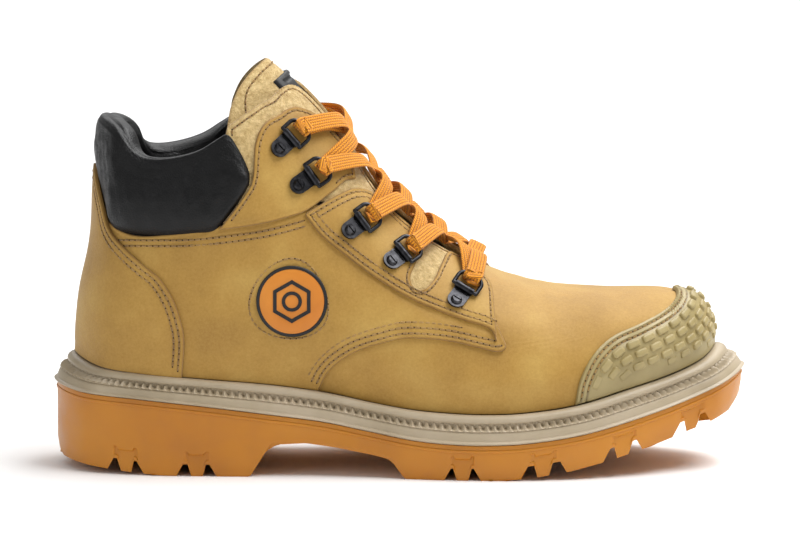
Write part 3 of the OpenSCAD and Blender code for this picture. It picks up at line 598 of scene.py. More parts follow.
def panel(name, segments, low, thick, mat, rows=(), edge_r=0.7, relief=None, depth=0.28, **kw):
    """A leather panel cut to an outline, with rounded edges and a groove under each stitch row."""
    loop = closed_outline(segments, EDGE_SPACING)
    kd = tree_of(fine(on_form(loop)))
    rings = [0.3 * edge_r, edge_r] + [r + s for r in rows
                                    for s in (-GROOVE_HALF, 0, GROOVE_HALF)]
    rings = [r for k, r in enumerate(sorted(rings)) if k == 0 or r - sorted(rings)[k - 1] > 0.25]
    extra = []
    for d in rings:
        q = inset_line(loop, d)
        q = q[inside_loop(loop, q)]
        if len(q):
            extra.append(q[distances(kd, on_form(q)) > 0.93 * d])
    fa, fb = jacobian(loop)
    scale = (float(np.linalg.norm(fa, axis=1).mean()), float(np.linalg.norm(fb, axis=1).mean()))
    da, db = LATTICE / scale[0], LATTICE / scale[1] * 0.87
    lo, hi = loop.min(0), loop.max(0)
    g = np.array([(a + (r % 2) * da / 2, b)
                  for r, b in enumerate(np.arange(lo[1] + db / 2, hi[1], db))
                  for a in np.arange(lo[0] + da / 3, hi[0], da)])
    if len(g):
        g = g[inside_loop(loop, g)]
        extra.append(g[distances(kd, on_form(g)) > rings[-1] + 0.45 * LATTICE])
    ab, faces = triangulate(loop, np.vstack(extra), scale)
    base = on_form(ab)
    d = distances(kd, base)
    d[:len(loop)] = 0
    t = np.minimum(d, edge_r)
    off = thick - (edge_r - np.sqrt(np.maximum(edge_r ** 2 - (edge_r - t) ** 2, 0)))
    for r in rows:
        off = off - depth * np.exp(-((d - r) / 0.6) ** 2)
    off = off + 0.12 * waves(base, 16, 3) * np.minimum(d / 3, 1)
    if relief is not None:
        off = off + relief(base)
    v, f = closed_sheet(on_form(ab, low + off), on_form(ab, low), faces)
    # the 'edge' attribute is the distance from the outline; the leathers darken near it, partly the
    # cut edge's tone and partly painted shade
    obj = add(name, v, f, mat, attrs={"edge": np.concatenate([d, d])}, **kw)
    return obj, loop


def bead():
    """A unit capsule-like bead: points and faces, long in x."""
    u, v = 8, 5
    pts, faces = [(-1, 0, 0)], []
    for i in range(1, v):
        a = math.pi * i / v
        for j in range(u):
            b = 2 * math.pi * j / u
            r = math.sin(a) ** 0.7
            pts.append((-math.cos(a), r * math.cos(b), r * math.sin(b)))
    pts.append((1, 0, 0))
    last = len(pts) - 1
    for j in range(u):
        j2 = (j + 1) % u
        faces.append((0, 1 + j2, 1 + j))
        for i in range(v - 2):
            p, q = 1 + i * u, 1 + (i + 1) * u
            faces.append((p + j, p + j2, q + j2, q + j))
        faces.append((last, last - u + j, last - u + j2))
    return np.array(pts), faces


BEAD, BEAD_FACES = bead()
PITCH = 2.7


class Stitches:
    """Thread, and dark beads of painted shade for the needle holes, gathered into one piece."""

    def __init__(self):
        self.v, self.f, self.m, self.n = [], [], [], 0

    def put(self, c, t, n, size, mat):
        b = np.cross(n, t)
        axes = np.stack([t * size[0], b * size[1], n * size[2]])
        self.v.append(c + BEAD @ axes)
        self.f += [tuple(i + self.n for i in f) for f in BEAD_FACES]
        self.m += [mat] * len(BEAD_FACES)
        self.n += len(BEAD)

    def points(self, p, n, pitch=PITCH, width=0.5, height=0.42):
        s = lengths(p)
        if s[-1] < pitch * 1.2:
            return
        count = max(2, int(round(s[-1] / pitch)) + 1)
        at = np.linspace(0, s[-1], count)
        q, m = along_path(at, s, p), along_path(at, s, n)
        for i in range(count - 1):
            t = q[i + 1] - q[i]
            length = np.linalg.norm(t)
            up = unit(m[i] + m[i + 1])
            t = t / length
            t = unit(t - (t @ up) * up)
            self.put((q[i] + q[i + 1]) / 2, t, up, (length * 0.42, width, height), 0)
        for i in range(count):
            up = unit(m[i])
            t = q[min(i + 1, count - 1)] - q[max(i - 1, 0)]
            t = unit(t - (t @ up) * up)
            # a flat dark bead at each needle hole, painted shade in place of the hole's pit
            self.put(q[i] - 0.03 * up, t, up, (0.42, 0.36, 0.16), 1)

    def along(self, loop, d, height, where=None, **kw):
        """One row at distance d inside an outline, on the runs where the outline passes where()."""
        q = inset_line(loop, d)
        keep = distances(tree_of(fine(on_form(loop))), on_form(q)) > 0.9 * d
        if where is not None:
            keep &= np.array([bool(where(a, b)) for a, b in loop])
        if keep.all():
            q, keep = np.vstack([q, q[:1]]), np.append(keep, True)
        else:
            start = int(np.argmin(keep))
            q, keep = np.roll(q, -start, 0), np.roll(keep, -start)
        run = []
        for k in range(len(q) + 1):
            if k < len(q) and keep[k]:
                run.append(q[k])
            elif run:
                self.line(np.array(run), height, **kw)
                run = []

    def line(self, ab, height, **kw):
        if len(ab) < 3:
            return
        ab = resample(ab, 1.0)
        self.points(on_form(ab, height), normals(ab), **kw)

    def finish(self, name, body="boot", slot=None):
        return add(name, np.vstack(self.v), self.f, [THREAD, HOLE_SHADE], body, slot=slot,
                   face_mats=self.m, sharp=60)


LEATHER_T, GAP = 1.6, 0.1
FIRST, SECOND = GAP, LEATHER_T + 2 * GAP
ON_FIRST, ON_SECOND = FIRST + LEATHER_T - 0.05, SECOND + LEATHER_T - 0.05

# outlines, in columns and rows of the form
BACKSTAY = [(2.6, 0), (2.63, 0.73), (2.55, 1.1), (2.4, 1.37), (2.15, 1.6), (1.85, 1.73),
            (1.45, 1.92), (0.95, 2.2), (0.68, 2.48), (0.28, 2.85), (0, 2.98)]
ARC = [(4.93, 0), (5.18, 0.4), (5.52, 0.7), (6.02, 0.97), (6.75, 1.23), (7.28, 1.38),
       (7.98, 1.48), (8.6, 1.52), (9.1, 1.49), (9.48, 1.44), (9.65, 1.46), (9.72, 1.55),
       (9.67, 1.72),
       (9.6, 1.96)]
QUARTER_TOP = [(9.6, 1.96), (8.7, 2.02), (7.8, 2.1), (7, 2.24), (6.2, 2.5), (5.6, 2.58),
               (5.3, 2.55),
               (4.8, 2.45), (4.1, 2.335), (3.3, 2.27), (2.3, 2.16), (1.5, 2.14), (0.65, 2.32)]
QUARTER_REAR = [(0.65, 2.32), (1.4, 1.8), (2, 1.1), (2, 0)]
FACING_BACK = [(3.55, 3.3), (3.8, 3.05), (3.9, 2.85), (3.88, 2.72), (3.7, 2.55), (3.35, 2.3)]
FACING_LOW = [(3.35, 2.3), (4.1, 2.36), (4.8, 2.475), (5.3, 2.575), (5.7, 2.62), (6.2, 2.55),
              (6.9, 2.3),
              (7.7, 2.14), (8.5, 2.07), (9.5, 2.0)]
FACING_FRONT = [(9.5, 2.0), (9.62, 2.7), (9.7, 3.42)]
FACING_EDGE = [(9.7, 3.42), (8.9, 3.32), (8.2, 3.34), (7.6, 3.43), (7.1, 3.57), (6.75, 3.63),
               (6.35, 3.59), (6.0, 3.53), (5.7, 3.515), (5.35, 3.54), (4.8, 3.565), (4.2, 3.49),
               (3.8, 3.42)]
FACING_TOP = [(3.8, 3.42), (3.63, 3.385), (3.55, 3.3)]
EYESTAY_TOP = [[(6.95, 3.08), (6.55, 2.92), (6.15, 2.75), (5.65, 2.59), (5.2, 2.475), (4.55, 2.365),
                (4.1, 2.305), (3.7, 2.26), (3.28, 2.225)],
               [(3.28, 2.225), (3.53, 2.41), (3.81, 2.605), (3.99, 2.725)],
               [(3.99, 2.725), (4.07, 2.84), (4.16, 3.04), (4.27, 3.18), (4.5, 3.31), (4.83, 3.38),
                (5.3, 3.385), (5.7, 3.365), (6.05, 3.36), (6.45, 3.4), (7.0, 3.4)],
               [(7.0, 3.4), (7.03, 3.24), (6.95, 3.08)]]
EYESTAY_LOW = [[(5.28, 2.44), (5.62, 2.29), (6.22, 2.18), (6.82, 2.08), (7.58, 1.98), (8.35, 1.93),
                (8.85, 1.9), (9.4, 1.82), (9.52, 1.6)],
               [(9.52, 1.6), (9.6, 2.1), (9.73, 2.68), (9.66, 2.95)],
               [(9.66, 2.95), (9.45, 3.2), (9.12, 3.19)],
               [(9.12, 3.19), (8.98, 3.05), (8.82, 2.83), (8.55, 2.52), (8.38, 2.37), (8.2, 2.24),
                (8.03, 2.15), (7.88, 2.13), (7.79, 2.19), (7.83, 2.3), (8.0, 2.45), (8.2, 2.65),
                (8.4, 2.87), (8.55, 3.1), (8.5, 3.2)],
               [(8.5, 3.2), (7.9, 3.22), (7.4, 3.13), (6.9, 2.96), (6.4, 2.78), (5.9, 2.63),
                (5.35, 2.49)],
               [(5.35, 2.49), (5.28, 2.47), (5.28, 2.44)]]
GUARD_TOP = [(11, 0.0), (11.12, 0.68), (11.4, 1.22), (11.82, 1.57), (12.48, 1.8), (13.35, 2.2),
             (14, 2.67), (15, 3.6)]

# ---------------------------------------------------------------- the leather upper
VAMP_BACK = [(4.8, 0), (5.05, 0.4), (5.4, 0.7), (5.9, 0.97), (6.6, 1.25), (7.9, 1.55), (9, 1.7),
             (9.45, 1.9), (9.5, 2.3), (9.55, 2.8), (9.7, 3.2), (9.92, 3.6), (10.05, 4)]


def vamp():
    rows, cols = 64, 120
    b = 8 * np.arange(cols) / (cols - 1)
    half = np.where(b > 4, 8 - b, b)
    line = smooth_line(VAMP_BACK)
    back = np.interp(half, line[:, 1], line[:, 0])
    t = np.linspace(0, 1, rows)[:, None]
    a = back + (LAST_COL - back) * t
    bb = np.broadcast_to(b, a.shape)
    flat = np.stack([a.ravel(), bb.ravel()], 1)
    base = on_form(flat)
    edge = np.clip((flat[:, 0] - np.tile(back, rows)) * 22, 0, 9)
    off = 0.18 * waves(base, 30, 5) - 0.6 * np.exp(-edge / 0.5)
    crease = (np.exp(-((flat[:, 0] - 10.6) / 0.5) ** 2)
              * np.sin(flat[:, 0] * 14 + 2 * np.cos(half.mean())))
    v, f = closed_sheet(on_form(flat, off + 0.1 * crease), on_form(flat, -LEATHER_T),
                        grid_faces(rows, cols))
    v, f = merge_close(v, f, 5e-3)
    seen = {}
    for face in f:
        seen.setdefault(frozenset(face), []).append(face)
    f = [x[0] for x in seen.values() if len(x) == 1]
    add("vamp_leather", v, f, NUBUCK, nodes=["vamp"], slot="nubuck",
        attrs={"edge": np.full(len(v), 9.0)})


vamp()


def sewn(name, finish, segments, low, height, where, rows, mat=NUBUCK, slot="nubuck"):
    """A panel that stands for its own node, and the stitches that run along its outline."""
    stitches = Stitches()
    _, loop = panel(f"{name}_{finish}", segments, low, LEATHER_T, mat, rows=rows[:2], nodes=[name],
                    slot=slot)
    for d in rows:
        stitches.along(loop, d, height - 0.1, where)
    return stitches


COLLAR_SEAM = [(1.2, 2.06), (1.83, 2.075), (2.63, 2.09), (3.25, 2.13), (3.95, 2.2), (4.55, 2.285),
               (5.22, 2.4)]
for side, tag in SIDES:
    stitches = sewn(f"quarter_{tag}", "leather",
                    mirrored([[(2, 0), (3, 0), (4, 0), (4.93, 0)], ARC, QUARTER_TOP, QUARTER_REAR],
                             side),
                    FIRST, ON_FIRST, lambda a, b: 0.12 < b < 1.56 and abs(a) > 4.7, (2.0, 4.4, 6.6))
    collar_seam = resample(smooth_line(COLLAR_SEAM), 1) * [side, 1]
    for d in (0, 2.5):
        stitches.line(inset_line(collar_seam, -side * d, closed=False), ON_FIRST)
    stitches.finish(f"quarter_{tag}_stitching", slot="nubuck")

    stitches = sewn(f"facing_{tag}", "suede",
                    mirrored([FACING_BACK, FACING_LOW, FACING_FRONT, FACING_EDGE, FACING_TOP],
                             side),
                    FIRST, ON_FIRST, lambda a, b: b > 3.25, (2.2,), SUEDE, "suede")
    stitches.finish(f"facing_{tag}_stitching", slot="suede")

    stitches = sewn(f"eyestay_top_{tag}", "leather", mirrored(EYESTAY_TOP, side), SECOND, ON_SECOND,
                    lambda a, b: b > 2.34 + 0.2 * max(abs(a) - 4, 0), (1.8,))
    stitches.finish(f"eyestay_top_{tag}_stitching", slot="nubuck")

    stitches = sewn(f"eyestay_low_{tag}", "leather", mirrored(EYESTAY_LOW, side), SECOND, ON_SECOND,
                    None, (1.8,))
    for k, cut in ((0, 6), (4, 2)):
        low_line = resample(smooth_line(EYESTAY_LOW[k]), 1) * [side, 1]
        stitches.line(inset_line(low_line[2:-cut], 4.2 * side, closed=False), ON_SECOND)
    stitches.finish(f"eyestay_low_{tag}_stitching", slot="nubuck")

stitches = sewn("backstay", "leather",
                [[(-2.6, 0), (-1.3, 0), (0, 0), (1.3, 0), (2.6, 0)], BACKSTAY,
                 [(-a, b) for a, b in reversed(BACKSTAY)]],
                SECOND, ON_SECOND, lambda a, b: b > 0.12, (2.0, 4.4))
stitches.finish("backstay_stitching", slot="nubuck")


# ---------------------------------------------------------------- toe guard
GUARD_ROWS = (2.0, 4.4)
MARCH, FIRST_BLOCKS, BLOCK_PITCH, BLOCKS_FROM, BLOCK_POWER = 0.5, 7.2, 4.3, 0.46, 0.42
# a block's layers: its share of the length and of the width, and the height
BLOCK_LAYERS = [(1.08, 1.12, 1.2), (1.02, 1.04, 2.5), (0.98, 0.97, 3.0), (0.89, 0.82, 3.3),
                (0.5, 0.4, 3.36)]


def march(ab, step, count):
    out = [ab]
    for _ in range(count):
        ab = ab + to_columns(ab, inward(ab, closed=False) * step)
        ab = resample(ab, 0, len(ab))
        out.append(ab)
    return out


def toe_guard():
    over = [(30 - a, b) for a, b in reversed(GUARD_TOP)]
    top = GUARD_TOP[:-1] + [(15, 3.6)] + over[1:]
    low = [(19 - k * 0.5, 0.0) for k in range(17)]
    gap, thick = 0.3, 1.8
    edge = resample(smooth_line(top), 0.6)
    rim = tree_of(fine(on_form(edge)))
    found = {}

    def channels(base):
        found["edge"] = distances(rim, base)
        return sum(-0.8 * np.exp(-((found["edge"] - r) / 0.6) ** 2) for r in GUARD_ROWS)

    obj, loop = panel("toe_guard_rubber", [top, low], gap, thick, OLIVE, rows=GUARD_ROWS,
                      edge_r=1.1,
                      depth=0, relief=channels, nodes=["toe_guard"], slot="guard_rubber")
    # the 'edge' attribute becomes the distance from the top line, so the rubber's painted shade
    # falls in the stitch channels only
    obj.data.attributes["edge"].data.foreach_set("value", np.tile(found["edge"], 2))
    stitches = Stitches()
    for d in GUARD_ROWS:
        stitches.along(loop, d, gap + thick - 0.7, lambda a, b: b > 0.1, width=0.5)
    stitches.finish("toe_guard_stitching", slot="guard_rubber")
    if edge[0, 0] > edge[-1, 0]:
        edge = edge[::-1]
    step = -MARCH if inward(edge, False)[len(edge) // 2, 2] > 0 else MARCH
    lines = march(edge, step, 96)
    verts, faces, count = [], [], 0
    sides = 20
    ang = np.arange(sides) * 2 * math.pi / sides
    cx, cy = (np.sign(w) * np.abs(w) ** BLOCK_POWER for w in (np.cos(ang), np.sin(ang)))
    for r in range(8):
        k = int(round((FIRST_BLOCKS + r * BLOCK_PITCH) / MARCH))
        if k >= len(lines):
            break
        line = lines[k]
        line = line[line[:, 1] > BLOCKS_FROM]
        if len(line) < 12:
            break
        pos = on_form(line)
        s = lengths(pos)
        wide = 5.9 - 0.2 * r
        n = max(2, int(s[-1] / (wide + 1.7)))
        at = (np.arange(n) + (0.5 if r % 2 else 0.15)) * s[-1] / n
        at = at[at < s[-1] - 2]
        c = along_path(at, s, line)
        tt = along_path(at + 1, s, pos) - along_path(at - 1, s, pos)
        for o, nv, tv, row in zip(on_form(c), normals(c), tt, c[:, 1]):
            low = 1 - 0.75 * (1 - smooth_step(0.4, 0.8, row))
            tv = unit(tv - (tv @ nv) * nv)
            bv = np.cross(nv, tv)
            hx, hy = wide / 2, 1.6 - 0.03 * r
            fade = 0.75 + 0.25 * min(1, s[-1] / 120)
            for sx, sy, h in BLOCK_LAYERS:
                verts.append(o + (hx * sx * fade * cx)[:, None] * tv + (hy * sy * cy)[:, None] * bv
                             + (h if h < 2 else 2.05 + (h - 2.05) * low) * nv)
            for q in range(len(BLOCK_LAYERS) - 1):
                for j in range(sides):
                    j2 = (j + 1) % sides
                    faces.append((count + q * sides + j, count + q * sides + j2,
                                  count + (q + 1) * sides + j2, count + (q + 1) * sides + j))
            faces.append(tuple(count + j for j in reversed(range(sides))))
            faces.append(tuple(count + (len(BLOCK_LAYERS) - 1) * sides + j for j in range(sides)))
            count += len(BLOCK_LAYERS) * sides
    add("toe_guard_blocks", np.vstack(verts), faces, OLIVE, slot="guard_rubber", sharp=50)


toe_guard()


# ---------------------------------------------------------------- sole
def column_round(t):
    return LAST_COL * (1 - np.cos(np.pi * t)) / 2


def whole(half):
    """A closed ring from its outer half."""
    return np.vstack([half, flip(half[1:-1][::-1]), half[:1]])


def sole_outline(inset, spacing):
    """The sole's edge in plan, as points and the height of its top, going round once."""
    a = column_round(np.linspace(0, 1, 400))
    p = on_rail(sole_net, a)
    e = on_rail(sole_net, np.minimum(a + STEP, LAST_COL)) - on_rail(sole_net,
                                                                    np.maximum(a - STEP, 0))
    d = np.stack([-e[:, 1], e[:, 0]], 1) / np.linalg.norm(e[:, :2], axis=1)[:, None]
    q = np.column_stack([p[:, :2] + inset * d, p[:, 2]])
    q[0, 1], q[-1, 1] = 0, centre_y(q[-1, 0])
    closed = whole(q)
    s = lengths(closed[:, :2])
    n = int(s[-1] / spacing)
    return along_path(np.arange(n) * s[-1] / n, s, closed)


def outward(ring):
    t = np.roll(ring[:, :2], -1, 0) - np.roll(ring[:, :2], 1, 0)
    d = np.stack([t[:, 1], -t[:, 0]], 1)
    return d / np.linalg.norm(d, axis=1)[:, None]


def welt():
    n_col = 2400
    t = np.arange(n_col) / n_col
    columns = column_round(np.linspace(0, 1, 3000))
    f, o = whole(on_rail(net[1], columns)), whole(on_rail(sole_net, columns))
    s = lengths(o[:, :2])
    at = t * s[-1]
    f, o = along_path(at, s, f), along_path(at, s, o)
    way = o[:, :2] - f[:, :2]
    w = np.linalg.norm(way, axis=1)
    d = way / w[:, None]
    z1, z0 = f[:, 2], o[:, 2] + 0.1
    h = z1 - z0
    saw = np.abs(((at / 1.65) % 2) - 1)
    tooth = 1 - (1 - saw) ** 1.2
    extra = np.maximum(w - 7, 0)
    # outward place from the sole's edge, height as a share of the welt's from the bottom up, how
    # much it draws in where the welt is wide, and how deep the serration cuts
    section = [(-0.9, 0.0, 0, 0), (0.1, 0.005, 0, 0), (0.75, 0.03, 0, 0), (0.8, 0.07, 0, 0),
               (0.3, 0.11, 0, 0), (-0.35, 0.13, 0.03, 0), (-0.4, 0.27, 0.15, 0),
               (-0.5, 0.37, 0.25, 0),
               (-0.7, 0.41, 0.28, 0), (-1.0, 0.44, 0.3, 0), (-0.35, 0.465, 0.31, 0.1),
               (-0.2, 0.5, 0.35, 0.6), (-0.35, 0.55, 0.4, 1.2), (-0.75, 0.6, 0.45, 1.7),
               (-1.25, 0.645, 0.5, 1.9), (-2.5, 0.665, 0.55, 0.5), (-2.8, 0.69, 0.6, 0),
               (-2.0, 0.715, 0.68, 0), (-1.45, 0.75, 0.8, 0), (-1.1, 0.8, 0.88, 0),
               (-1.1, 0.85, 0.93, 0),
               (-1.4, 0.905, 0.97, 0), (-2.0, 0.955, 1, 0), (-2.8, 0.985, 1, 0), (-3.9, 1.0, 1, 0)]
    cols = [(-w - 2.5, z0)]
    # painted shade: for each section row, how strongly the serration valleys are darkened
    painted_valley_shade = [0.0]
    for x, k, draw, cut in section:
        painted_valley_shade.append(2.6 * cut / 1.9)
        cols.append((x - extra * draw - 1.25 * cut * tooth,
                     z0 + k * h - 0.95 * max(cut - 0.4, 0) * tooth))
    cols += [(-w + 0.9, z0 + 0.97 * h), (-w - 0.8, z0 + 0.9 * h), (-w - 2.5, z0 + 0.6 * h)]
    m = len(cols)
    v = np.zeros((n_col, m, 3))
    for j, (x, z) in enumerate(cols):
        x = np.maximum(x, -w - 2.5)
        v[:, j, :2] = o[:, :2] + x[:, None] * d
        v[:, j, 2] = z
    # depth is the painted shade's strength in the serration valleys, stored as the 'edge' attribute
    depth = tooth[:, None] * np.pad(painted_valley_shade, (0, m - len(painted_valley_shade)))[None, :]
    add("welt_rubber", v.reshape(-1, 3), grid_faces(n_col, m, True, True), TAUPE, nodes=["welt"],
        slot="welt_rubber", sharp=35, attrs={"edge": depth.ravel()})


welt()

TREAD_LINE = [(-152, 7), (-149, 4.5), (-135, 3), (-118, 1.2), (-102, 0), (45, 0), (60, 1.6),
              (75, 4), (90, 7.6), (105, 11.8), (120, 16.2), (136, 21.5), (145, 25), (150, 30),
              (152, 34)]
LUG_H, DRAFT, SMALL_DRAFT = 5.4, 3.0, 1.5
BREAST = [(-66, -1), (-56.5, 14.2), (-41, 15), (-28, 13.2), (-12, 10.3), (-4, 8.5), (2.5, -1)]
REAR_LUG, TOE_LUG = -128, 136.5
EDGE_LUGS = [(-112, -97.5), (-80, -52), (-8, 19), (35, 52.5), (72.5, 88.5), (106, 119.5)]
SMALL_LUGS = [(-122, -117.5), (-91, -86), (24.5, 29.5), (59.7, 64.8), (94.7, 99.8), (125.7, 129.8)]


def tread_z(x):
    t = np.array(TREAD_LINE)
    return np.interp(x, t[:, 0], t[:, 1])


def rect(x0, x1, y0, y1):
    return [(x0, y0), (x1, y0), (x1, y1), (x0, y1)]


def lug_shapes():
    """Plan outlines of the lugs, on both sides of the sole and along its middle."""
    out = [[(-170, -80), (REAR_LUG, -80), (REAR_LUG, -22), (REAR_LUG - 7, -13), (REAR_LUG - 7, 13),
            (REAR_LUG, 22), (REAR_LUG, 80), (-170, 80)],
           [(170, 80), (TOE_LUG, 80), (TOE_LUG, 20), (TOE_LUG - 9, 8), (TOE_LUG - 9, -8),
            (TOE_LUG, -20),
            (TOE_LUG, -80), (170, -80)]]
    for x0, x1 in EDGE_LUGS:
        for s in (-1, 1):
            out.append([(x0, s * 80), (x1, s * 80), (x1, s * 24), ((x0 + x1) / 2 + 2, s * 20),
                        (x0, s * 24)])
    small = len(out)
    for x0, x1 in SMALL_LUGS:
        for s in (-1, 1):
            out.append(rect(x0, x1, s * (32 if x1 < 90 else 19.5), s * 80))
    for x in (-112, -90, -70):
        out.append([(x - 9, -13), (x, -8), (x + 9, -13), (x + 9, -2), (x, 6), (x - 9, -2)])
        out.append([(x - 8, 4), (x, 12), (x + 8, 4), (x + 8, 11), (x, 17), (x - 8, 11)])
    for x in (14, 34, 54, 74, 94, 112):
        out.append([(x - 7, -17), (x + 6, -13), (x + 6, -3), (x - 7, -6)])
        out.append([(x - 7, 17), (x + 6, 13), (x + 6, 3), (x - 7, 6)])
    return [(p, DRAFT if k < small else SMALL_DRAFT) for k, p in enumerate(out)]


def polygon_distance(poly, q):
    """How far each point lies outside a polygon; 0 inside it."""
    p = np.array(poly, float)
    best = np.full(len(q), 1e9)
    hit = inside_loop(p, q)
    for a, b in zip(p, np.roll(p, -1, 0)):
        e = b - a
        t = np.clip(((q - a) @ e) / (e @ e), 0, 1)
        best = np.minimum(best, np.linalg.norm(q - (a + t[:, None] * e), axis=1))
    return np.where(hit, 0, best)


def outset(poly, d):
    p = np.array(poly, float)
    area = sum(a[0] * b[1] - b[0] * a[1] for a, b in zip(p, np.roll(p, -1, 0)))
    out = []
    for k in range(len(p)):
        e1, e2 = p[k] - p[k - 1], p[(k + 1) % len(p)] - p[k]
        n1 = np.array([e1[1], -e1[0]]) / np.linalg.norm(e1) * np.sign(area)
        n2 = np.array([e2[1], -e2[0]]) / np.linalg.norm(e2) * np.sign(area)
        n = (n1 + n2) / max(1 + n1 @ n2, 0.4)
        out.append(p[k] + d * n)
    return out


def outsole():
    ring = sole_outline(0.6, 1.3)
    n = len(ring)
    shapes = lug_shapes()
    pts = [tuple(p[:2]) for p in ring]
    edges = [(i, (i + 1) % n) for i in range(n)]

    def keep(poly):
        k = len(pts)
        pts.extend([tuple(p) for p in poly])
        edges.extend((k + i, k + (i + 1) % len(poly)) for i in range(len(poly)))
    for s, draft in shapes:
        keep(s)
        keep(outset(s, draft))
    for x in np.arange(-150, 151, 7.0):
        for y in np.arange(-54, 55, 7.0):
            pts.append((x + 0.37, y + 0.21))
    verts, _, faces, _, _, _ = delaunay_2d_cdt([Vector(p) for p in pts], edges, [], 0, 1e-4)
    q = np.array([[v.x, v.y] for v in verts])
    loop = ring[:, :2]
    grown = ring[:, :2] + 0.02 * outward(ring)
    ok = inside_loop(grown, q)
    faces = [tuple(f) for f in faces if ok[list(f)].all()
             and inside_loop(loop, q[list(f)].mean(0)[None])[0]]
    used = sorted({i for f in faces for i in f})
    where = {i: k for k, i in enumerate(used)}
    q = q[used]
    faces = [tuple(where[i] for i in f) for f in faces]
    lug = np.full(len(q), 1e9)
    for s, draft in shapes:
        lug = np.minimum(lug, polygon_distance(s, q) / draft)
    rise = LUG_H * np.clip(lug, 0, 1)
    z = tread_z(q[:, 0]) + rise
    b = np.array(BREAST)
    arch = np.interp(q[:, 0], b[:, 0], b[:, 1], left=-9, right=-9)
    z = np.maximum(z, arch)
    nxt = dict(border(faces))
    order, k = [], next(iter(nxt))
    while len(order) <= len(nxt) and (not order or k != order[0]):
        order.append(k)
        k = nxt[k]
    rim = np.array(order)
    edge = q[rim]
    kd = tree_of(ring * [1, 1, 0])
    zt = np.array([ring[kd.find((x, y, 0))[1], 2] for x, y in edge])
    for _ in range(3):
        zt = (np.roll(zt, 1) + zt + np.roll(zt, -1)) / 3
    zt = zt - 0.25
    out = outward(edge)
    out = out * np.sign((out * (edge - edge.mean(0))).sum())
    zb = z[rim]
    free = np.clip((tread_z(edge[:, 0]) + LUG_H - zb) / LUG_H, 0, 1)
    rows = [(0.0, -0.3 - 0.9 * free), (0.9, -0.05 - 0.8 * free), (1.6, 0.0 - 0.7 * free)]
    layers = [(np.minimum(zb + r, zt - 5 + 0.1 * r), off) for r, off in rows]
    above = np.maximum(tread_z(edge[:, 0]) + LUG_H + 0.5, zb + 1.8)
    near = np.min([np.abs(edge[:, 0] - (x0 + x1) / 2) for x0, x1 in SMALL_LUGS], axis=0)
    recess = -0.75 * (1 - smooth_step(4.6, 5.2, near))
    for up, off, stop in ((0, recess - 0.02, 4.5), (3.3, recess, 4.35), (3.9, 0 * zb, 4.2)):
        layers.append((np.minimum(above + up, zt - stop), off))
    for drop, off in ((3.6, 0.0), (3.2, 0.0), (3.0, 0.35), (2.5, 0.45), (2.0, 0.35), (1.8, 0.0),
                      (0.9, 0.0), (0.0, -0.1)):
        layers.append((zt - drop, 0 * zb + off))
    base = np.column_stack([q, z])
    base[rim, :2] = edge + out * rows[0][1][:, None]
    verts3 = [base]
    count = len(base)
    out_faces = [tuple(reversed(f)) for f in faces]
    prev = rim
    for zz, off in layers[1:]:
        ids = np.arange(count, count + len(rim))
        verts3.append(np.column_stack([edge + out * off[:, None], zz]))
        for i in range(len(rim)):
            j = (i + 1) % len(rim)
            out_faces.append((int(prev[i]), int(prev[j]), int(ids[j]), int(ids[i])))
        prev = ids
        count += len(rim)
    lid, lid_faces = triangulate(edge, np.zeros((0, 2)), (1, 1))
    if len(lid) != len(edge):
        raise RuntimeError("the sole's lid has extra points")
    out_faces += [tuple(int(prev[i]) for i in f) for f in lid_faces]
    add("outsole_tread", np.vstack(verts3), out_faces, AMBER, nodes=["outsole"],
        slot="outsole_rubber", sharp=30)


outsole()


# ---------------------------------------------------------------- collar and linings
COLLAR_LOW = [(0, 3.0), (0.3, 2.88), (0.72, 2.5), (1.0, 2.24), (1.5, 2.16), (2.15, 2.15),
              (2.8, 2.18),
              (3.2, 2.22), (3.5, 2.42), (3.8, 2.63), (3.95, 2.74)]
COLLAR_TOP = [(0, 3.54), (0.35, 3.53), (0.75, 3.46), (1.1, 3.32), (1.45, 3.13), (1.8, 3.03),
              (2.3, 3.02),
              (2.85, 3.08), (3.35, 3.2), (3.6, 3.22), (3.85, 3.0), (3.98, 2.82)]


def both_ways(points):
    return [(-a, b) for a, b in reversed(points[1:])] + list(points)


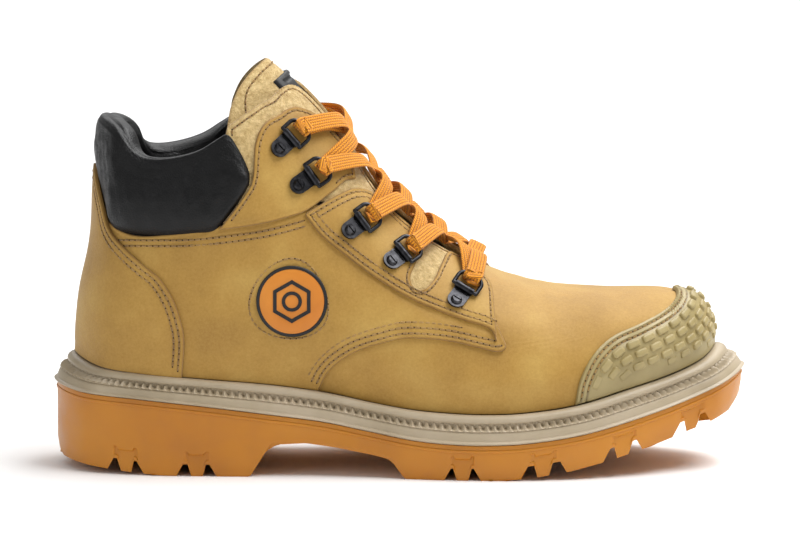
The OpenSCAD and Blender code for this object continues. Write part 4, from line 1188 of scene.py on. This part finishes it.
def collar():
    n = 180
    lo = resample(smooth_line(both_ways(COLLAR_LOW)), 0, n)
    hi = resample(smooth_line(both_ways(COLLAR_TOP)), 0, n)
    plump = np.sin(np.pi * np.linspace(0, 1, n)) ** 0.25
    near = smooth_step(0.3, 1.6, np.abs(lo[:, 0]))
    section = []
    outer, inner = 22, 18
    for k in range(outer):
        t = k / (outer - 1)
        r = lo + t * (hi - lo)
        base = on_form(r)
        puff = (0.6 + 3.2 * near) * plump * math.sin(math.pi * min(1, t * 1.02)) ** 0.7
        seam = -0.5 * near * math.exp(-((t - 0.84) / 0.035) ** 2)
        off = 1.9 + (0.5 + 0.6 * near) * min(1, k / 2) + puff + seam * plump
        crease = waves(base * [1, 1, 0.5], 15, 11) * 0.8 + waves(base, 6, 12) * 0.25
        off = off + crease * math.sin(math.pi * t) ** 0.5 * plump
        section.append(on_form(r, off))
    nn = normals(hi)
    up = cross_unit(np.cross(nn, np.array([0, 0, 1.0])), nn)
    up = up * np.sign(up[:, 2:3])
    depth = collar_room(hi[:, 0], hi[:, 1]) + 1.9
    o1, o2 = 2.4 + 0.6 * near, -depth
    mid, rad = (o1 + o2) / 2, (o1 - o2) / 2
    c = on_form(hi) + mid[:, None] * nn
    roll = 26
    for k in range(1, roll):
        f = math.pi * k / roll
        high = np.minimum(rad, 3.6) * (1 + 0.06 * waves(c, 18, 4)) * (0.35 + 0.65 * plump)
        pipe = 0.6 * math.exp(-((f - 0.85) / 0.22) ** 2) - 0.8 * math.exp(-((f - 1.25) / 0.13) ** 2)
        section.append(c + ((rad + pipe) * math.cos(f))[:, None] * nn
                       + ((high + pipe) * math.sin(f))[:, None] * up)
    bottom = hi + 0.62 * (np.stack([hi[:, 0], 0 * hi[:, 1] + 2.35], 1) - hi)
    for k in range(inner):
        t = k / (inner - 1)
        r = hi + t * (bottom - hi)
        puff = 1.4 * math.sin(math.pi * t) ** 0.6 * plump
        off = (-(collar_room(r[:, 0], np.maximum(r[:, 1], 2.5)) + 1.9) - puff
               - 0.25 * waves(on_form(r), 12, 8) * plump)
        section.append(on_form(r, off))
    # back through the foam to the start
    back = section[-1]
    for t in (0.35, 0.7):
        section.append(back + t * (section[0] - back))
    rows = np.stack(section)
    m = len(rows)
    v = rows.transpose(1, 0, 2).reshape(-1, 3)
    faces = grid_faces(n, m, False, True)
    caps = []
    for end in (0, n - 1):
        centre = rows[:, end].mean(0)
        caps.append(centre)
        k = n * m + len(caps) - 1
        for j in range(m):
            j2 = (j + 1) % m
            tri = (end * m + j, end * m + j2, k)
            faces.append(tri if end == 0 else tri[::-1])
    v = np.vstack([v, caps])
    obj = add("collar_pad", v, faces, COLLAR, nodes=["collar_cover", "collar_foam"],
              slot="collar_leather", sharp=70)


collar()


LINING_LOW = [(0, 0), (1.2, 0), (2.4, 0), (3.6, 0), (4.6, 0), (5, 0.6), (5.9, 1.15), (6.9, 1.45),
              (7.9, 1.7), (8.7, 1.85), (9.2, 2)]
LINING_HIGH = [(0, 2.75), (0.75, 2.75), (1.62, 2.7), (2.43, 2.7), (3.3, 3.0), (4.4, 3.45),
               (5.8, 3.5),
               (6.6, 3.58), (7.3, 3.45), (8.2, 3.28), (9, 3.24)]


def quarter_lining():
    n, m = 150, 30
    lo = resample(smooth_line(both_ways(LINING_LOW)), 0, n)
    hi = resample(smooth_line(both_ways(LINING_HIGH)), 0, n)
    t = np.linspace(0, 1, m)[None, :, None]
    ab = (lo[:, None] + t * (hi - lo)[:, None]).reshape(-1, 2)
    r = collar_room(ab[:, 0], ab[:, 1])
    v, f = closed_sheet(on_form(ab, -0.45 - r), on_form(ab, -1.85 - r), grid_faces(n, m))
    add("quarter_lining_mesh", v, f, LINING, nodes=["quarter_lining"], slot="lining")


quarter_lining()

# ---------------------------------------------------------------- tongue
TONGUE_LINE = [(52, 76.8), (40, 78.6), (22, 86), (3, 100.5), (-14, 119), (-26, 137), (-37, 155),
               (-48, 169.5), (-58, 179.5)]
TONGUE_HALF = [13, 14, 15.5, 17.5, 19, 20.5, 23.5, 25.5, 22]
TONGUE_SAG = [3, 4, 5, 6, 7, 9, 17, 31, 31]
TONGUE_T, FLARE, TONGUE_CORNER = 1.4, 4.5, 0.12


def tongue_point(s, t, off):
    """Points at share s of the tongue's length and t (-1 to 1) of its width."""
    s, t, off = np.broadcast_arrays(np.asarray(s, float), t, off)
    line = smooth_line(TONGUE_LINE, 24)
    u = np.linspace(0, 1, len(line))
    h = 0.02

    def at(x):
        x = np.clip(x, 0, 1)
        return np.stack([np.interp(x, u, line[:, 0]), np.interp(x, u, line[:, 1])], -1)
    p, e = at(s), at(s + h) - at(s - h)
    n = np.stack([e[..., 1], -e[..., 0]], -1) / np.linalg.norm(e, axis=-1, keepdims=True)
    k = np.linspace(0, 1, len(TONGUE_HALF))
    w, g = np.interp(s, k, TONGUE_HALF), np.interp(s, k, TONGUE_SAG)
    lift = off - g * t * t
    flare = FLARE * np.clip((s - 0.76) / 0.18, 0, 1) ** 1.5 * np.abs(t) ** 1.5
    return np.stack([p[..., 0] + lift * n[..., 0] - flare, w * t + centre_y(p[..., 0]),
                     p[..., 1] + lift * n[..., 1] + 0.3 * flare], -1)


def tongue_sheet(name, s0, s1, width, top_off, low_off, mat, nodes, slot, n=90, m=54, puff=0.0,
                 noise=0.25, corner=TONGUE_CORNER, dish=0.0):
    s = np.linspace(0, 1, n)[:, None]
    t = np.linspace(-1, 1, m)[None, :]
    ang = np.linspace(-math.pi / 2, math.pi / 2, m)[None, :]
    t = 0.35 * np.sin(ang) + 0.65 * t
    far = s0 + (s1 - s0) * s
    far = far - (far - s0) * (corner * np.abs(t) ** 5)
    tt = width * t * np.ones_like(far)
    ff = far * np.ones_like(tt)
    edge = np.minimum(np.minimum((1 - np.abs(t)) * 22 * width, (1 - s) * 100 * (s1 - s0)),
                      s * 200 + 1)
    edge = edge * np.ones_like(ff)
    r = 0.7
    drop = r - np.sqrt(np.maximum(r * r - (r - np.minimum(edge, r)) ** 2, 0))
    groove = 0.35 * np.exp(-((edge - 3.0) / 0.7) ** 2)
    body_puff = puff * np.minimum(edge / 8, 1) ** 0.5
    base = tongue_point(ff, tt, 0 * ff)
    dished = dish * smooth_step(1.6, 2.1, edge)
    top = tongue_point(ff, tt, top_off - drop - groove - dished + body_puff
                       + noise * waves(base.reshape(-1, 3), 18, 21).reshape(ff.shape))
    low = tongue_point(ff, tt, low_off + 0 * ff - puff * 0.4 * np.minimum(edge / 8, 1) ** 0.5)
    v, f = closed_sheet(top.reshape(-1, 3), low.reshape(-1, 3), grid_faces(n, m))
    e = edge.reshape(-1)
    # the 'edge' attribute darkens the suede near its rim: partly the cut edge's tone, partly
    # painted shade
    return add(name, v, f, mat, "tongue", nodes=nodes, slot=slot,
               attrs={"edge": np.concatenate([e, e])})


tongue_sheet("tongue_suede", 0.0, 1.0, 1.0, 0.0, -TONGUE_T, SUEDE, ["tongue_shell"], "suede")
pad = tongue_sheet("tongue_pad", 0.25, 0.95, 0.8, -1.8, -7.3, COLLAR, ["tongue_foam"],
                   "collar_leather", puff=0.5)
tongue_sheet("tongue_lining_mesh", 0.25, 0.945, 0.76, -8.0, -9.1, LINING, ["tongue_lining"],
             "lining")


def tongue_stitches():
    st = Stitches()
    d, side_s, top_s = 3.0, 0.89, 0.97
    turn = [math.pi / 2 * k / 16 for k in range(17)]
    bend = [(side_s + 0.08 * math.sin(k), 1 - 0.3 * (1 - math.cos(k))) for k in turn]
    path = ([(s, -1) for s in np.linspace(0.35, side_s, 50)] + [(s, -t) for s, t in bend]
            + [(top_s, t) for t in np.linspace(-0.68, 0.68, 30)] + bend[::-1]
            + [(s, 1) for s in np.linspace(side_s, 0.35, 50)])

    def at(s, t):
        return tongue_point(np.array([s]), np.array([t]), np.array([-0.15]))[0]

    pts, nrm = [], []
    for s, t in path:
        tt = t * (1 - d / 22.0)
        ss = min(s, 1 - d / 100.0)
        ss = ss - ss * TONGUE_CORNER * abs(tt) ** 5
        p = at(ss, tt)
        nv = unit(np.cross(at(ss, tt + 0.01) - p, at(ss + 0.01, tt) - p))
        pts.append(p)
        nrm.append(-nv if nv[2] < 0 else nv)
    st.points(np.array(pts), np.array(nrm))
    st.finish("tongue_stitching", "tongue", slot="suede")


tongue_stitches()
tongue_sheet("tongue_label_patch", 0.81, 0.91, 0.42, 1.9, 0.4, BLACK, ["tongue_label"],
             "label_rubber", n=44, m=70, noise=0.0, corner=0.0, dish=0.7)

# ---------------------------------------------------------------- lace hardware frames
BARREL_ENDS = [((5.15, 3.23), (5.37, 3.09)), ((5.48, 2.88), (5.67, 2.75)),
               ((6.63, 2.62), (6.87, 2.54)),
               ((7.62, 2.57), (7.84, 2.47)), ((8.9, 2.43), (9.2, 2.34))]
WIRE_R, BARREL_WALL, RING_CLEAR = 0.9, 0.7, 0.06
BARREL_R = WIRE_R + RING_CLEAR + BARREL_WALL
RING_REACH, RING_LIFT = 7.4, math.radians(8)
HINGE_OFF = SECOND + LEATHER_T + 0.1 + BARREL_R


def one(a, b, off=0.0):
    return form(np.array([a]), np.array([b]), off)[0]


def clip_frame(i, side):
    e0, e1 = np.array(BARREL_ENDS[i][0]), np.array(BARREL_ENDS[i][1])
    p, q = one(side * e0[0], e0[1]), one(side * e1[0], e1[1])
    mid = (e0 + e1) / 2
    n = half_normal(mid[:1], mid[1:])[0]
    n = n * [1, side, 1]
    raw = q - p
    bar = unit(raw - (raw @ n) * n) * side
    reach = -np.cross(bar, n)
    return one(side * mid[0], mid[1]) + HINGE_OFF * n, reach, n


# ---------------------------------------------------------------- lace
LACE_W, LACE_T = 7.8, 1.3
WRAP = WIRE_R + 0.45 + LACE_T / 2
RIDE_OFF, CROSS_OFF = 2.6, 0.9
BULGE = [7.5, 7, 7, 6, 5]
WRAP_ANGLES = [-112, -146, -180, -225, -270, -302]
CROSS_COLS = [7.35, 8, 8.6, 9.25, 9.8]
TAIL_PATH = [(7.05, 3.64, 3.4), (6.85, 3.52, 4.2), (6.5, 3.37, 4.5), (6.12, 3.26, 4.5)]


def around(i, side, sign):
    o, reach, n = clip_frame(i, side)
    r = reach * math.cos(RING_LIFT) + n * math.sin(RING_LIFT)
    m = n * math.cos(RING_LIFT) - reach * math.sin(RING_LIFT)
    wire = o + RING_REACH * r
    out = []
    for t in WRAP_ANGLES:
        way = math.cos(math.radians(t)) * r + math.sin(math.radians(t)) * m
        out.append((wire + WRAP * way, sign * way))
    return out


def crossing(i, j, side, lift, sign):
    p = around(i, side, 1)[-1][0]
    q = around(j, -side, 1)[-1 if i == j else 0][0]
    col = CROSS_COLS[i]
    mid = one(col, LAST_ROW, RIDE_OFF + lift)
    raw = half_normal(np.array([col]), np.array([4.0]))[0]
    up = BULGE[i] * raw
    n = sign * np.array([raw[0], 0, raw[2]])
    return [((p + mid) / 2 + up, n), (mid, n), ((mid + q) / 2 + up, n)]


def tail(side, sign):
    out = []
    for a, b, off in TAIL_PATH:
        n = half_normal(np.array([a]), np.array([b]))[0] * [1, side, 1]
        out.append((one(side * a, b, off), -sign * n))
    return out


def lace_pieces(first):
    """One piece for each ring: [(ring, stations)], each from one crest crossing to the next."""
    out, start = [], tail(first, 1)
    for i in range(5):
        side = first * (1 if i % 2 == 0 else -1)
        sign = 1 if i % 2 == 0 else -1
        loop = around(i, side, sign)
        if i < 4:
            c = crossing(i, i + 1, side, -CROSS_OFF if side > 0 else CROSS_OFF, sign)
        else:
            c = crossing(4, 4, side, 0, sign)
        out.append((i, side, start + loop + c[:2]))
        start = c[1:]
    return out


def lace_mesh(name, stations, u0=0.0):
    c = np.array([s[0] for s in stations])
    f = np.array([s[1] for s in stations])
    c, f = smooth_line(c, 16), smooth_line(f, 16)
    s = lengths(c)
    n = int(s[-1] / 0.36)
    at = np.linspace(0, s[-1], n)
    c, f = along_path(at, s, c), along_path(at, s, f)
    way = np.gradient(c, axis=0)
    way = way / np.linalg.norm(way, axis=1)[:, None]
    w = cross_unit(way, f)
    up = cross_unit(w, way)
    m = 30
    x = np.sin(np.linspace(-math.pi / 2, math.pi / 2, m) * 0.999)
    x = 0.5 * x + 0.5 * np.linspace(-1, 1, m)
    u = at + u0
    rows, across = [], []
    for sgn in (1, -1):
        for k in (range(m) if sgn > 0 else range(m - 2, 0, -1)):
            v = x[k] * LACE_W / 2
            thick = LACE_T / 2 * (1 - 0.72 * abs(x[k]) ** 6)
            cord = abs(math.sin(math.pi * v / CORD)) ** 0.7
            slant = CORD - abs((v + 40 * CORD) % (2 * CORD) - CORD)
            rib = (0.24 * cord * np.abs(np.sin(math.pi * (u + slant) / CORD_PITCH)) ** 0.5
                   * (1 - abs(x[k]) ** 8))
            edge = 1 + 0.03 * np.abs(np.sin(math.pi * u / CORD_PITCH)) * abs(x[k]) ** 3
            rows.append(c + (v * edge)[:, None] * w + (sgn * (thick - 0.12 + rib))[:, None] * up)
            across.append(np.full(n, v))
    sides = len(rows)
    v = np.stack(rows, 1).reshape(-1, 3)
    faces = grid_faces(n, sides, False, True)
    for end in (0, n - 1):
        ids = [end * sides + j for j in range(sides)]
        faces.append(tuple(ids if end == 0 else ids[::-1]))
    obj = add(name, v, faces, LACE, None, sharp=60,
              attrs={"along": np.repeat(u, sides), "across": np.stack(across, 1).ravel()})
    return obj, u0 + s[-1]


first_piece = True
for first, letter in ((1, "a"), (-1, "b")):
    along_mm = 0.0
    for i, side, stations in lace_pieces(first):
        obj, along_mm = lace_mesh(f"lace_{letter}{i + 1}", stations, along_mm)
        tag = "outer" if side > 0 else "inner"
        o, reach, n = clip_frame(i, side)
        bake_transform(obj)
        if first_piece:
            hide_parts("lace")
            first_piece = False


# ---------------------------------------------------------------- badge
def badge():
    centre, radius = (4.62, 1.43), 15.5
    ab = np.array([centre])
    o, n = on_form(ab, FIRST + LEATHER_T + 0.05)[0], normals(ab)[0]
    up = unit(np.array([0, 0, 1.0]) - n[2] * n)
    right = np.cross(up, n)

    def ring(r, h, count=96):
        t = np.arange(count) * 2 * math.pi / count
        return o + r * (np.cos(t)[:, None] * right + np.sin(t)[:, None] * up) + h * n

    def turned(name, profile, mat, **kw):
        count = 96
        v = np.vstack([ring(r, h, count) for r, h in profile])
        f = grid_faces(len(profile), count, False, True)
        f.append(tuple(reversed(range(count))))
        f.append(tuple((len(profile) - 1) * count + j for j in range(count)))
        return add(name, v, f, mat, slot="badge_rubber", **kw)
    turned("badge_rim", [(radius, -0.6), (radius, 0.6), (radius - 0.3, 0.95), (radius - 1.2, 1.0),
                         (radius - 1.5, 0.7), (radius - 1.6, -0.6)], BLACK, nodes=["badge"])
    turned("badge_disc", [(radius - 1.4, -0.55), (radius - 1.4, 0.75), (radius - 1.8, 0.95),
                          (radius - 6, 1.0)], ORANGE)

    def hexagon(r):
        return [(r * math.cos(math.radians(60 * k + 30)), r * math.sin(math.radians(60 * k + 30)))
                for k in range(6)]
    outer, inner = hexagon(9.4), hexagon(7.6)
    v, f = [], []
    for pts, h in ((outer, 0.8), (outer, 1.25), (inner, 1.25), (inner, 0.8)):
        v += [o + x * right + y * up + h * n for x, y in pts]
    for q in range(4):
        for k in range(6):
            k2, q2 = (k + 1) % 6, (q + 1) % 4
            f.append((q * 6 + k, q * 6 + k2, q2 * 6 + k2, q2 * 6 + k))
    add("badge_nut_outline", v, f, BLACK, slot="badge_rubber", sharp=30)
    count = 48
    v = np.vstack([ring(r, h, count) for r, h in ((4.4, 0.8), (4.4, 1.25), (2.9, 1.25),
                                                  (2.9, 0.8))])
    add("badge_bore_outline", v, grid_faces(4, count, True, True), BLACK, slot="badge_rubber",
        sharp=30)
    st = Stitches()
    t = np.linspace(0, 2 * math.pi, 120)
    step = (np.cos(t)[:, None] * right + np.sin(t)[:, None] * up) * (radius + 2.0)
    q = ab + to_columns(np.repeat(ab, len(t), 0), step)
    st.points(on_form(q, ON_FIRST), normals(q), pitch=2.6)
    st.finish("badge_stitching", slot="nubuck")


badge()

# ---------------------------------------------------------------- carried-over CAD nodes
FINISH = {"shank": STEEL, "puncture_plate": STEEL, "steel_toe_cap": STEEL, "insole_board": BOARD,
          "footbed": FOOTBED, "toe_cap_edge_strip": BLACK, "midsole": MIDSOLE,
          "heel_stiffener": STIFFENER, "vamp_lining": LINING, "lace_clips_outer": GUNMETAL,
          "lace_clips_inner": GUNMETAL, "clip_rivets_outer": GUNMETAL,
          "clip_rivets_inner": GUNMETAL}
for name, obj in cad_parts.items():
    mat = GUNMETAL if name.startswith("d_ring") else FINISH.get(name)
    if mat:
        for k in range(max(1, len(obj.material_slots))):
            if len(obj.material_slots) == 0:
                obj.data.materials.append(mat)
            obj.material_slots[k].material = mat

# ---------------------------------------------------------------- floor, light and camera
FLOOR = 9
floor = bpy.data.meshes.new("floor")
floor.from_pydata([(x * FLOOR, y * FLOOR, 0) for x, y in ((-1, -1), (1, -1), (1, 1), (-1, 1))], [],
                  [(0, 1, 2, 3)])
n = Nodes("floor")
floor.materials.append(n.done(n.ramp(n.noise(3), [(0.3, srgb(0.96, 0.96, 0.96)),
                                                  (0.7, srgb(0.97, 0.97, 0.97))]), 1.0,
                              Specular_IOR_Level=0.0))
floor_obj = bpy.data.objects.new("floor", floor)
bpy.context.scene.collection.objects.link(floor_obj)

world = bpy.data.worlds.new("studio")
bpy.context.scene.world = world
world.use_nodes = True
world.node_tree.nodes["Background"].inputs["Color"].default_value = (1, 1, 1, 1)
world.node_tree.nodes["Background"].inputs["Strength"].default_value = 0.4
bpy.context.scene.view_settings.view_transform = "Standard"


def light(name, place, aim, size, power):
    lamp = bpy.data.lights.new(name, "AREA")
    lamp.shape, lamp.size, lamp.energy = "SQUARE", size, power
    obj = bpy.data.objects.new(name, lamp)
    obj.location = place
    obj.rotation_euler = (Vector(aim) - Vector(place)).to_track_quat("-Z", "Y").to_euler()
    bpy.context.scene.collection.objects.link(obj)


AIM = (0, 0, 0.0813)
light("key", (0.5, -0.22, 1.1), AIM, 0.8, 14.5)
light("fill", (-0.95, -0.9, 0.55), AIM, 0.6, 1.7)
light("top", (0.35, 0.4, 1.05), AIM, 0.5, 5.5)
light("sweep", (0, 2.3, 1.5), (0, 2.3, 0), 3.0, 42.0)

cam = bpy.data.cameras.new("camera")
cam.sensor_width, cam.lens = 36, 307
cam.clip_end = 50
camera = bpy.data.objects.new("camera", cam)
tilt, FAR = math.radians(8), 3
camera.location = (0, -FAR * math.cos(tilt), AIM[2] + FAR * math.sin(tilt))
camera.rotation_euler = (Vector(AIM) - camera.location).to_track_quat("-Z", "Y").to_euler()
bpy.context.scene.collection.objects.link(camera)
bpy.context.scene.camera = camera
